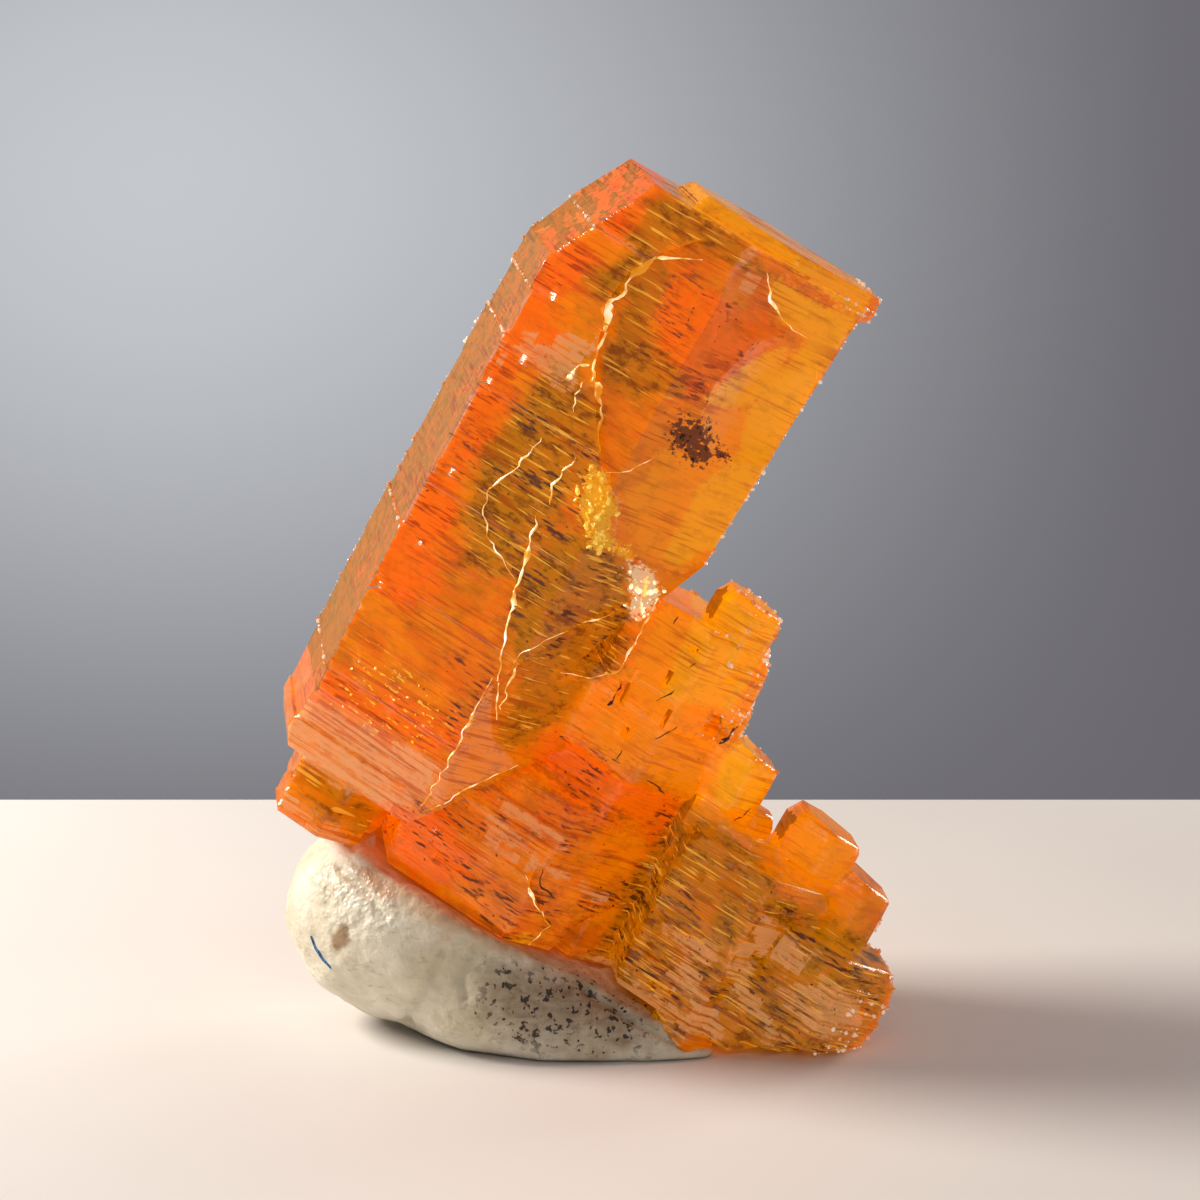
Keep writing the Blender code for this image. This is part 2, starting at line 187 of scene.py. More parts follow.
def plainMesh(obj):  # the object with its modifiers worked out and removed
    bpy.context.view_layer.update()
    graph = bpy.context.evaluated_depsgraph_get()
    mesh = bpy.data.meshes.new_from_object(obj.evaluated_get(graph))
    obj.modifiers.clear()
    obj.data = mesh
    return obj


def shadeWithSharpEdges(obj, angleDeg):
    obj.data.shade_smooth()
    obj.data.set_sharp_from_angle(angle=math.radians(angleDeg))


def coordinates(mesh):
    flat = np.empty(len(mesh.vertices) * 3, np.float32)
    mesh.vertices.foreach_get("co", flat)
    return flat.reshape(-1, 3).astype(float)


def setCoordinates(mesh, points):
    mesh.vertices.foreach_set("co", np.asarray(points, np.float32).ravel())
    mesh.update()


mergeWithin = 0.0005


def cadCopy(nodeName):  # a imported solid's mesh with the corners of its loose triangles joined
    bm = bmesh.new()
    bm.from_mesh(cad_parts[nodeName].data)
    bmesh.ops.remove_doubles(bm, verts=bm.verts, dist=mergeWithin * mm)
    return bm


print("stage: camera, light and floor")

cameraPlace = {
    "target": (0.555, 0.0, 11.61), "distance": 88.0, "elevationDeg": 11.0,
    "lens": 100.0, "sensor": 36.0, "nearest": 5.0, "farthest": 10000.0,
}


def makeCamera(settings):
    camera = bpy.data.cameras.new("camera")
    camera.lens = settings["lens"]
    camera.sensor_width = settings["sensor"]
    camera.clip_start = settings["nearest"] * mm
    camera.clip_end = settings["farthest"] * mm
    made = bpy.data.objects.new("camera", camera)
    bpy.context.scene.collection.objects.link(made)
    tilt = math.radians(settings["elevationDeg"])
    away = Vector((0, -math.cos(tilt), math.sin(tilt)))
    made.location = (Vector(settings["target"]) + away * settings["distance"]) * mm
    made.rotation_euler = away.to_track_quat("Z", "Y").to_euler()
    bpy.context.scene.camera = made


makeCamera(cameraPlace)

# Each light by where it stands, its size, power in watts and colour. All look at the specimen.
lamps = {
    "windowLeft": {"at": (-84, 14, 66), "size": 44, "power": 0.15, "colour": (1.0, 0.95, 0.88)},
    "windowBack": {"at": (98, 80, 26), "size": 56, "power": 0.09, "colour": (1.0, 0.95, 0.88)},
    "frontFill": {"at": (10, -110, 85), "size": 80, "power": 0.02, "colour": (1.0, 0.97, 0.93)},
}


def makeLamp(name, settings):
    light = bpy.data.lights.new(name, "AREA")
    light.shape = "DISK"
    light.size = settings["size"] * mm
    light.energy = settings["power"]
    light.color = settings["colour"]
    made = bpy.data.objects.new(name, light)
    bpy.context.scene.collection.objects.link(made)
    made.location = Vector(settings["at"]) * mm
    toLight = made.location - Vector(cameraPlace["target"]) * mm
    made.rotation_euler = toLight.to_track_quat("Z", "Y").to_euler()


for lampName, lampSettings in lamps.items():
    makeLamp(lampName, lampSettings)

room = {"colour": (0.42, 0.42, 0.44, 1), "strength": 0.42}


def makeRoom(settings):
    world = bpy.data.worlds.new("room")
    bpy.context.scene.world = world
    world.use_nodes = True
    background = world.node_tree.nodes["Background"].inputs
    background["Color"].default_value = settings["colour"]
    background["Strength"].default_value = settings["strength"]
    bpy.context.scene.view_settings.view_transform = "Standard"


makeRoom(room)

# A few bounces are enough for the light in the crystals, and they keep the render short
lightPaths = {"max_bounces": 5, "transmission_bounces": 5, "glossy_bounces": 2, "diffuse_bounces": 2}
for pathKind, pathCount in lightPaths.items():
    setattr(bpy.context.scene.cycles, pathKind, pathCount)
bpy.context.scene.cycles.caustics_reflective = False

floorShape = {
    "half": 160.0, "front": 110.0, "back": 24.0, "cloud": (0.05, 0.05, 0.05),
    "tones": ((238, 232, 226), (226, 218, 212)),
}
# The backdrop glows from one place, across and up, and fades out over a reach
backdropShape = {
    "half": 420.0, "away": 260.0, "glowAt": (-45.0, 5.0), "glowReach": (120.0, 90.0),
    "tones": ((104, 102, 108), (196, 199, 204)),
}


def flatCard(name, corners, material):
    bm = bmesh.new()
    bm.faces.new([bm.verts.new(Vector(corner) * mm) for corner in corners])
    return newObject(name, asMesh(bm, name), material)


def makeFloor(shape):
    card = Finish("paleCard", Roughness=0.55)
    tone = card.noise(card.millimetres(turned=False), shape["cloud"], 3.0)
    first, second = shape["tones"]
    card.set("Base Color", card.mix(tone, srgb(*first), srgb(*second)))
    half, front, back = shape["half"], -shape["front"], shape["back"]
    corners = ((-half, front, 0), (half, front, 0), (half, back, 0), (-half, back, 0))
    flatCard("floor", corners, card.material)


def makeBackdrop(shape):
    paper = Finish("greyPaper", Roughness=0.9, Emission_Strength=1.0)
    across = paper.node("ShaderNodeSeparateXYZ", {}, {0: paper.millimetres(turned=False)})
    height = Value(paper, across.socket.node.outputs[2])
    glowAcross, glowUp = shape["glowAt"]
    reachAcross, reachUp = shape["glowReach"]
    sideways = 1.0 - ((across - glowAcross) / reachAcross).size()
    upwards = 1.0 - ((height - glowUp) / reachUp).size()
    glow = sideways.between(0.0, 1.0) * upwards.between(0.0, 1.0)
    far, near = shape["tones"]
    paper.set("Base Color", (0, 0, 0, 1))
    paper.set("Emission Color", paper.mix(glow, srgb(*far), srgb(*near)))
    half, away = shape["half"], shape["away"]
    corners = ((-half, away, -half), (half, away, -half), (half, away, half), (-half, away, half))
    flatCard("backdrop", corners, paper.material)


makeFloor(floorShape)
makeBackdrop(backdropShape)

print("stage: the crystals' surface")

crystalShape = {"longestEdge": 0.3, "splits": 5, "sharpDeg": 24.0}
crystalRelief = {
    "Striation height": 0.022, "Terrace height": 0.032, "Wave height": 0.03, "Sunk by": 0.012, "Seed": 3,
}
# The relief's patterns by their stretch along the axes, with the size of a terrace's step
reliefPatterns = {
    "striations": {"stretch": (0.5, 0.5, 7.0)},
    "terraces": {"stretch": (0.7, 0.7, 2.2), "detail": 1.0},
    "waves": {"stretch": (0.4, 0.4, 0.25), "detail": 1.0},
}
terraceStep = 0.09
seedStride = (7.3, 3.1, 5.7)  # how far a seed moves the patterns along each axis


def refine(bm, longest, splits):  # halves the long edges a few times over, keeping every flat face flat
    for _ in range(splits):
        tooLong = [edge for edge in bm.edges if edge.calc_length() > longest]
        bmesh.ops.subdivide_edges(bm, edges=tooLong, cuts=1)
        bmesh.ops.triangulate(bm, faces=[face for face in bm.faces if len(face.verts) > 3])


def geometryTree(name, inputs):
    tree = bpy.data.node_groups.new(name, "GeometryNodeTree")
    tree.interface.new_socket("Geometry", in_out="INPUT", socket_type="NodeSocketGeometry")
    tree.interface.new_socket("Geometry", in_out="OUTPUT", socket_type="NodeSocketGeometry")
    kinds = {int: "NodeSocketInt", float: "NodeSocketFloat"}
    for label, value in inputs.items():
        tree.interface.new_socket(label, in_out="INPUT", socket_type=kinds[type(value)])
    maker = NodeMaker(tree)
    maker.given = tree.nodes.new("NodeGroupInput")
    return maker


def given(maker, label):
    return Value(maker, maker.given.outputs[label])


def endTree(maker, geometry, material):
    real = maker.node("GeometryNodeRealizeInstances", {}, {"Geometry": geometry})
    done = maker.node("GeometryNodeSetMaterial", {}, {"Geometry": real, "Material": material})
    out = maker.tree.nodes.new("NodeGroupOutput")
    maker.feed(out.inputs["Geometry"], done)


def runTree(obj, maker, inputs):
    modifier = obj.modifiers.new(maker.tree.name, "NODES")
    modifier.node_group = maker.tree
    for item in maker.tree.interface.items_tree:
        if item.in_out == "INPUT" and item.name in inputs:
            modifier[item.identifier] = inputs[item.name]
    return plainMesh(obj)


def crystalPlace(maker):  # the position in millimetres along the crystals' axes
    place = maker.node("GeometryNodeInputPosition")
    scaled = maker.vector("MULTIPLY", place, (1 / mm, 1 / mm, 1 / mm))
    moved = maker.vector("SUBTRACT", scaled, axesPlace["origin"])
    settings = {"rotation_type": "Y_AXIS"}
    return maker.node("ShaderNodeVectorRotate", settings, {"Vector": moved, "Angle": -lean})


def reliefTree(inputs, patterns, material):  # striations across the axis, low terraces and a slight wave
    maker = geometryTree("growthRelief", inputs)
    seed = given(maker, "Seed")
    strides = {axis: seed * stride for axis, stride in enumerate(seedStride)}
    offset = maker.node("ShaderNodeCombineXYZ", {}, strides)
    place = maker.vector("ADD", crystalPlace(maker), offset)
    noises = maker.noises(place, patterns)
    steps = maker.node("ShaderNodeMath", {"operation": "SNAP"}, {0: noises["terraces"], 1: terraceStep})
    height = (noises["striations"] - 0.5) * given(maker, "Striation height")
    height = height + (steps - 0.5) * given(maker, "Terrace height")
    height = height + (noises["waves"] - 0.5) * given(maker, "Wave height")
    height = (height - given(maker, "Sunk by")) * mm
    normal = maker.node("GeometryNodeInputNormal")
    push = maker.node("ShaderNodeVectorMath", {"operation": "SCALE"}, {0: normal, "Scale": height})
    sockets = {"Geometry": given(maker, "Geometry"), "Offset": push}
    endTree(maker, maker.node("GeometryNodeSetPosition", {}, sockets), material)
    return maker


# Zones of colour on the crystals, as outlines across and up in millimetres, seen square to their front
zones = {
    "red": {
        "left strip": (
            (0.15, 3.68), (0.25, 13.36), (0.66, 14.4), (1.35, 14.67), (1.96, 14.69), (1.58, 13.69),
            (1.28, 12.81), (1.62, 12.06), (1.31, 11.05), (1.55, 9.79), (1.53, 8.52), (1.42, 7.24),
            (1.76, 6.1), (2.05, 4.71), (1.49, 4.1), (0.74, 4.1),
        ),
        "band above the foot": (
            (0.01, 0.76), (0.03, 1.82), (1.1, 1.71), (2.48, 2.18), (3.47, 2.15), (4.31, 2.26), (4.31, 1.2),
        ),
        "under the upper shell": (
            (3.51, 15.2), (5.04, 15.07), (6.7, 15.03), (6.71, 14.6), (6.27, 13.47), (5.77, 12.41),
            (5.15, 12.09), (3.78, 12.85), (3.55, 13.84),
        ),
        "top left corner": (
            (1.17, 16.97), (2.47, 16.97), (2.1, 16.05), (1.96, 15.06), (1.23, 14.79), (0.95, 15.24),
        ),
        "second crystal, left": ((3.57, -0.67), (5.15, -0.42), (6.16, -1.13), (6.18, -2.38), (3.65, -2.54)),
        "foot of the blocks": (
            (6.48, 1.65), (6.43, 3.09), (8.49, 2.95), (10.17, 2.89), (10.77, 2.25), (10.56, 1.37),
        ),
    },
    "orange": {
        "right of the crack": (
            (5.02, 9.33), (5.42, 11.06), (5.15, 12.09), (5.8, 12.4), (8.2, 12.6), (8.23, 9.01), (7.4, 8.2),
            (6.0, 8.1),
        ),
        "blocks": (
            (6.7, 3.1), (6.8, 4.5), (7.35, 5.1), (7.35, 6.5), (7.4, 7.2), (8.4, 8.6), (10.6, 8.4),
            (11.0, 7.0), (12.6, 4.8), (12.4, 3.0), (11.2, 2.2), (10.4, 2.9), (8.5, 2.9),
        ),
        "steps": (
            (11.5, 2.8), (12.4, 4.6), (13.6, 4.3), (15.2, 3.9), (15.3, 2.6), (14.4, 2.2), (13.5, 2.5),
            (11.8, 2.8),
        ),
    },
    "olive": {
        "middle": (
            (1.59, 9.67), (1.53, 8.27), (1.82, 6.87), (2.45, 6.01), (3.69, 6.2), (3.79, 7.49), (3.74, 8.62),
            (4.11, 9.77), (3.53, 11.09), (2.83, 11.23), (2.5, 12.09), (1.8, 11.07),
        ),
        "upper left": (
            (2.13, 14.69), (2.0, 16.05), (2.52, 16.58), (3.81, 16.51), (5.05, 16.2), (5.45, 16.03),
            (4.78, 15.97), (3.8, 15.82), (3.11, 15.63), (2.86, 15.08), (2.62, 13.57), (1.63, 13.56),
            (1.59, 14.06),
        ),
        "beside the crack": (
            (2.77, 14.07), (2.86, 12.82), (3.17, 11.83), (4.14, 11.61), (5.15, 12.46), (4.27, 13.06),
            (3.55, 13.59), (3.43, 14.7), (3.02, 15.07),
        ),
        "shell right of the crack": (
            (3.73, 6.21), (3.79, 7.66), (4.67, 8.26), (5.92, 7.82), (6.33, 7.32), (6.78, 6.56), (7.24, 6.05),
            (7.28, 5.1), (6.78, 4.59), (6.0, 4.5), (5.3, 4.6), (4.66, 4.34), (4.17, 5.22),
        ),
        "lower shell": (
            (5.16, 4.62), (6.58, 4.37), (6.61, 3.37), (6.03, 2.34), (5.63, 2.01), (5.18, 2.33), (5.02, 3.67),
        ),
        "front upper": (
            (10.7, 2.55), (11.5, 2.79), (13.52, 2.4), (13.38, -0.83), (10.61, -1.69), (10.4, 0.07),
        ),
        "front lower": ((10.61, -1.69), (13.38, -0.83), (13.41, -2.77), (10.35, -2.61)),
        # painted shade in the gap below the main crystal's foot
        "shade under the foot": ((1.28, -1.39), (3.68, -1.5), (3.69, -2.23), (1.26, -1.72)),
        "front right": (
            (13.33, 2.1), (17.06, 1.71), (17.48, 0.82), (17.53, -0.55), (16.85, -1.54), (15.79, -2.33),
            (13.45, -2.25),
        ),
    },
    "amber": {
        "lens under the top": (
            (5.59, 15.92), (5.91, 16.0), (6.71, 15.93), (7.75, 15.93), (8.26, 15.9), (8.26, 14.88),
            (7.33, 14.99), (6.52, 15.06), (5.99, 15.38),
        ),
        "right strip": (
            (7.87, 16.94), (8.2, 16.94), (8.23, 9.01), (7.79, 8.99), (7.37, 8.26), (6.8, 8.33), (6.71, 10.41),
            (7.23, 11.61), (6.93, 12.64), (7.33, 14.94),
        ),
        "bright band": (
            (5.61, 12.5), (5.98, 13.26), (6.54, 14.22), (7.07, 14.57), (7.21, 13.38), (6.77, 12.65),
            (6.28, 12.45),
        ),
        "top plate": (
            (2.5, 17.02), (8.39, 16.68), (8.31, 16.03), (6.65, 16.28), (4.58, 16.48), (2.84, 16.49),
        ),
        "block top": ((8.41, 8.49), (10.36, 8.2), (10.46, 5.55), (8.48, 5.2), (8.28, 7.01)),
        "step block": ((11.01, 5.05), (12.36, 4.34), (12.21, 3.3), (11.24, 3.11), (10.86, 4.15)),
        "second, lower bevel": (
            (3.65, -2.58), (7.74, -2.58), (8.64, -2.03), (8.76, -2.38), (7.92, -2.74), (3.63, -2.9),
        ),
    },
    # Mostly painted reflections and sheen on the front faces and bevels, with a few pale streaks and a fleck
    "pale": {
        "foot bevel": (
            (0.06, 0.73), (4.31, 1.14), (4.34, 0.3), (4.14, -0.47), (3.12, -1.37), (1.54, -1.37),
            (0.56, -0.96), (0.21, -0.05),
        ),
        "sheen": ((0.62, 11.23), (1.32, 11.85), (2.51, 12.64), (2.54, 11.15), (1.56, 11.01), (0.77, 10.98)),
        "fleck": ((5.11, 15.5), (5.64, 15.47), (5.65, 15.67), (5.11, 15.7)),
        "left foot": ((1.13, -2.0), (3.69, -2.29), (3.6, -2.68), (1.09, -2.54)),
        "reflection one": (
            (13.56, 1.3), (15.18, 1.17), (15.22, 0.71), (14.45, 0.44), (14.12, 0.41), (13.6, 0.42),
        ),
        "reflection two": (
            (15.42, 0.98), (16.93, 0.67), (17.29, -0.36), (16.51, -0.65), (15.44, -0.43), (14.69, 0.07),
            (15.42, 0.38),
        ),
        "reflection three": ((13.35, 0.52), (13.98, 0.24), (14.16, -0.33), (13.68, -0.42), (13.37, -0.03)),
        "reflection four": ((14.09, -0.71), (14.81, -0.71), (14.96, -1.13), (14.35, -1.17), (13.98, -0.99)),
        "reflection five": ((14.96, -0.99), (15.98, -1.11), (15.86, -1.6), (14.97, -1.46)),
        "reflection six": ((11.57, -0.03), (13.01, 0.06), (13.01, -0.37), (11.89, -0.56)),
        "reflection seven": ((12.15, -0.79), (13.13, -0.85), (12.9, -1.41), (12.16, -1.42)),
        "reflection eight": ((10.93, -2.27), (12.15, -1.77), (12.93, -2.12), (12.01, -2.5), (10.8, -2.5)),
        "reflection nine": ((13.27, -1.25), (14.1, -1.72), (14.13, -2.21), (13.28, -1.92)),
        "reflection ten": ((12.68, -2.39), (13.32, -2.24), (13.4, -2.84), (12.63, -2.71)),
        "streak one": ((6.28, 0.75), (7.9, 0.81), (8.12, 0.57), (7.66, 0.58), (6.36, 0.62)),
        "streak two": ((6.24, 0.09), (7.66, 0.09), (7.7, -0.11), (6.66, -0.17), (6.24, -0.12)),
        "streak three": ((6.31, -0.38), (7.66, -0.33), (7.61, -0.51), (6.36, -0.6)),
        "streak four": ((7.96, -0.05), (9.81, -0.52), (9.81, -0.65), (8.17, -0.34)),
    },
    "dark": {
        "dendrite": (
            (5.29, 11.88), (5.5, 11.68), (5.69, 11.94), (6.11, 11.89), (6.39, 11.7), (6.32, 11.47),
            (6.72, 11.47), (7.11, 11.4), (6.94, 11.32), (6.6, 11.24), (6.43, 10.95), (6.1, 10.93),
            (5.78, 11.07), (5.42, 11.26), (5.34, 11.57),
        ),
    },
    "facet": {
        "broken facet": ((4.36, 3.86), (4.41, -0.23), (5.15, 0.77), (6.14, 1.78), (5.1, 2.35), (4.79, 2.95)),
    },
    # Painted shade: the thin left face and the edge beside it, darker and duller than the faces around them
    "rim": {
        "left edge": ((-0.6, 1.2), (0.05, 1.2), (0.05, 13.8), (0.9, 16.2), (1.1, 17.4), (-0.6, 17.4)),
    },
    "shade": {
        "shell shadow": (
            (5.1, 5.75), (5.52, 5.32), (5.92, 4.98), (6.99, 4.59), (7.11, 4.73), (6.15, 5.15), (5.64, 5.46),
        ),
        "line under the facet": (
            (4.46, -0.28), (5.15, 0.77), (6.14, 1.7), (6.74, 1.63), (7.69, 1.62), (7.68, 1.48), (6.73, 1.42),
            (6.3, 1.25), (5.78, 0.66), (5.53, 0.3), (5.03, -0.48),
        ),
        "block recess": ((10.0, 4.65), (10.8, 4.56), (10.8, 5.17), (10.07, 5.16)),
        "second recess": ((9.23, -1.05), (10.61, -1.41), (10.49, -2.5), (9.26, -2.39)),
        "second notch": (
            (7.91, -0.07), (8.11, -0.7), (8.8, -0.91), (9.08, -1.29), (8.28, -0.99), (7.79, -0.35),
        ),
        "ledge shade": ((8.49, 3.09), (9.04, 3.42), (9.63, 2.99), (10.03, 2.76), (9.66, 2.69), (8.74, 2.89)),
        "slot shade": ((7.43, 4.95), (7.7, 4.84), (7.64, 4.36), (7.44, 4.35)),
        "joint line": ((6.43, 1.98), (9.67, 1.75), (9.67, 1.53), (6.51, 1.65)),
    },
    "gold": {
        "patch": (
            (3.95, 9.89), (4.38, 9.74), (4.72, 9.42), (5.1, 9.12), (5.05, 8.64), (5.29, 8.36), (6.08, 8.09),
            (5.37, 8.09), (4.97, 7.95), (4.59, 8.28), (4.11, 8.76), (3.94, 9.26),
        ),
    },
    "glare": {
        "chip": (
            (5.94, 7.94), (6.39, 7.95), (6.72, 7.93), (7.09, 7.65), (7.26, 7.28), (7.22, 6.82), (7.09, 6.48),
            (6.78, 6.59), (6.47, 7.22), (6.22, 7.59),
        ),
    },
    "dash": {
        "middle": (
            (1.59, 9.67), (1.53, 8.27), (1.82, 6.87), (2.45, 6.01), (3.69, 6.2), (4.2, 5.2), (4.66, 4.34),
            (6.78, 4.59), (7.28, 5.1), (7.24, 6.05), (5.92, 7.82), (4.11, 9.77), (3.53, 11.09), (1.8, 11.07),
        ),
        "foot": ((3.17, 1.86), (4.36, 1.95), (4.36, 4.02), (3.18, 3.94)),
        "left edge": ((0.77, 6.95), (1.57, 6.99), (1.59, 9.67), (0.8, 9.63)),
        "under the upper shell": (
            (3.51, 15.2), (6.7, 15.03), (6.27, 13.47), (5.77, 12.41), (5.15, 12.09), (3.78, 12.85),
        ),
        "foot of the blocks": (
            (6.48, 1.65), (6.43, 3.22), (8.49, 3.09), (10.46, 2.97), (10.77, 2.25), (10.56, 1.37),
        ),
        "second": ((3.87, -2.5), (4.01, -0.32), (6.17, 0.98), (10.55, 1.24), (10.61, -1.41), (8.52, -2.38)),
        "fronts": (
            (10.56, 1.63), (13.33, 2.1), (17.27, 1.5), (17.3, -0.5), (15.79, -2.19), (12.89, -2.72),
            (10.47, -2.5),
        ),
    },
    "fleck": {
        "above the foot": ((1.3, 0.9), (1.3, 2.8), (2.2, 2.9), (3.7, 2.5), (3.9, 1.3), (2.6, 0.9)),
    },
}
farAway = 1e9
tiny = 1e-9


def lineDistance(across, up, line):  # the shortest way from each place to a line of places
    nearest = np.full(len(across), farAway)
    for first, second in zip(np.array(line), np.array(line[1:])):
        along, rise = second - first
        share = ((across - first[0]) * along + (up - first[1]) * rise) / (along**2 + rise**2 + tiny)
        share = np.clip(share, 0, 1)
        gap = np.hypot(across - first[0] - share * along, up - first[1] - share * rise)
        nearest = np.minimum(nearest, gap)
    return nearest


def insideDistance(across, up, outline):  # the shortest way to an outline, positive inside it
    closed = outline + outline[:1]
    inside = np.zeros(len(across), bool)
    for first, second in zip(np.array(closed), np.array(closed[1:])):
        along, rise = second - first
        crosses = (first[1] > up) != (second[1] > up)
        where = first[0] + (up - first[1]) * along / (rise if abs(rise) > tiny else tiny)
        inside ^= crosses & (across < where)
    nearest = lineDistance(across, up, closed)
    return np.where(inside, nearest, -nearest)


# These marks don't reach the far side
frontOnly = ("pale", "dark", "gold", "glare", "facet", "fleck", "shade")
# The normals from which a face counts as looking back or left. A left face gets the painted shade of the left
# edge, as if this deep inside it.
paintLimits = {"outside": -9.0, "backNormal": -0.2, "leftNormal": -0.55, "leftAbove": 1.0, "leftDepth": 0.4}


def paintZones(obj, limits):
    across, front, up = toCrystal(coordinates(obj.data))
    normals = np.empty(len(across) * 3, np.float32)
    obj.data.vertices.foreach_get("normal", normals)
    normals = normals.reshape(-1, 3)
    facesBack = normals[:, 1] > limits["backNormal"]
    facesLeft = (normals[:, 0] < limits["leftNormal"]) & (up > limits["leftAbove"])
    for kind, outlines in zones.items():
        best = np.full(len(across), limits["outside"])
        for outline in outlines.values():
            best = np.maximum(best, insideDistance(across, up, outline))
        if kind in frontOnly:
            best = np.where(facesBack, limits["outside"], best)
        if kind == "rim":
            best = np.where(facesLeft, limits["leftDepth"], best)
        made = obj.data.attributes.new(kind, "FLOAT", "POINT")
        made.data.foreach_set("value", best.astype(np.float32))


mimetiteColours = {
    "body": srgb(238, 146, 2),
    "brown": srgb(206, 118, 10),
    "red": srgb(248, 124, 0),
    "orange": srgb(255, 160, 0),
    "olive": srgb(172, 128, 4),
    "amber": srgb(255, 182, 8),
    # the painted shade on the left face
    "rim": srgb(146, 108, 0),
    "facet": srgb(238, 160, 92),
    "mottle": srgb(255, 176, 40),
    "shadow": srgb(150, 88, 10),
    "bands": srgb(168, 98, 14),
    "feathers": srgb(255, 108, 0),
    "ticks": srgb(130, 52, 4),
    "dash": srgb(50, 28, 2),
    "glints": srgb(255, 200, 66),
    "specks": srgb(96, 50, 6),
    # painted reflections and sheen
    "pale": srgb(226, 172, 108),
    "shade": srgb(92, 52, 4),
    "dark": srgb(50, 27, 4),
    "gold": srgb(238, 180, 30),
    "glare": srgb(255, 240, 190),
    "fleck": srgb(255, 214, 60),
}
mimetitePatterns = {
    "drift": {"stretch": (0.8, 0.8, 1.3), "roughness": 0.65},
    "grain": {"stretch": (5.0, 5.0, 9.0), "roughness": 0.65},
    "mottle": {"stretch": (1.5, 1.5, 3.2), "detail": 3.0, "roughness": 0.7},
    "bands": {"stretch": (0.45, 0.45, 9.0), "roughness": 0.6},
    "calm": {"stretch": (0.35, 0.35, 0.5), "detail": 1.0},
    "feathers": {"stretch": (7.0, 7.0, 1.1), "detail": 1.0, "roughness": 0.6, "distortion": 0.6},
    "ticks": {"stretch": (1.5, 1.5, 12.0), "detail": 1.0},
    "patches": {"stretch": (0.8, 0.8, 1.1), "detail": 1.0},
    "dash": {"stretch": (1.7, 1.7, 11.0), "roughness": 0.65},
    "glints": {"stretch": (0.9, 0.9, 15.0), "detail": 1.0},
    "fleck": {"stretch": (3.0, 3.0, 9.0)},
}
# Where each mark starts on its pattern's scale of 0 to 1, and where it is full
markEdges = {
    "drift": (0.3, 0.7),
    "mottle": (0.36, 0.62),
    "shadow": (0.48, 0.66),
    "bands": (0.5, 0.66),
    "calm": (0.4, 0.6),
    "feathers": (0.5, 0.66),
    "ticks": (0.58, 0.64),
    "patches": (0.4, 0.6),
    "dash": (0.54, 0.62),
    "glints": (0.62, 0.68),
    "specks": (0.7, 0.76),
    "veins": (0.46, 0.6),
    "fleck": (0.62, 0.67),
}
# The wavy edge that shifts the broad zones' borders, as shares of the drift and the grain
wavyEdge = {"drift": 1.5, "grain": 0.8}
# Each zone's border: how soft it is, what shifts it and by how much
zoneBorders = {
    "red": (0.3, "edge", 1.0),
    "orange": (0.25, "edge", 1.0),
    "olive": (0.2, "edge", 0.6),
    "amber": (0.1, "grain", 0.4),
    "rim": (0.12, "edge", 0.25),
    "facet": (0.04, "grain", 0.1),
    "dash": (0.4, "edge", 1.0),
    "pale": (0.05, "grain", 0.25),
    "shade": (0.2, "grain", 1.8),
    "dark": (0.1, "grain", 1.5),
    "gold": (0.05, "grain", 1.0),
    "glare": (0.06, "grain", 0.8),
    "fleck": (0.3, "edge", 1.0),
}
# How strongly each layer covers those under it, 1 for wholly
mimetiteCovers = {
    "olive": 0.9, "facet": 0.9, "mottle": 0.55, "shadow": 0.22, "olive shadow": 0.5, "bands": 0.12,
    "calm bands": 0.45, "feathers": 0.5, "ticks": 0.7, "dash": 0.95, "stray dash": 0.03, "glints": 0.8,
    "specks": 0.7, "pale": 0.74, "veins": 0.66, "shade": 0.8, "least shade": 0.35, "dark": 0.92, "glare": 0.8,
}
mimetiteGlass = {
    "transmission": 0.5, "ior": 1.62, "specular": 0.2, "glow": 0.31,
    "absorb": (1.0, 0.64, 0.03, 1.0), "density": 340.0,
    "rough": {"least": 0.12, "patches": 0.12, "dash": 0.3, "pale": 0.1, "rim": 0.45},
    "bumpHeight": 0.035, "bumpGrain": 0.6, "bumpStrength": 0.6,
}
# The small blocks that give the painted reflections their stepped borders
reflectionBlocks = {"size": (0.42, 0.42, 0.13), "stretch": (1.3, 1.3, 2.6), "shift": 0.9}
veinGrain = 0.4  # how far the grain shifts the veins in those painted reflections
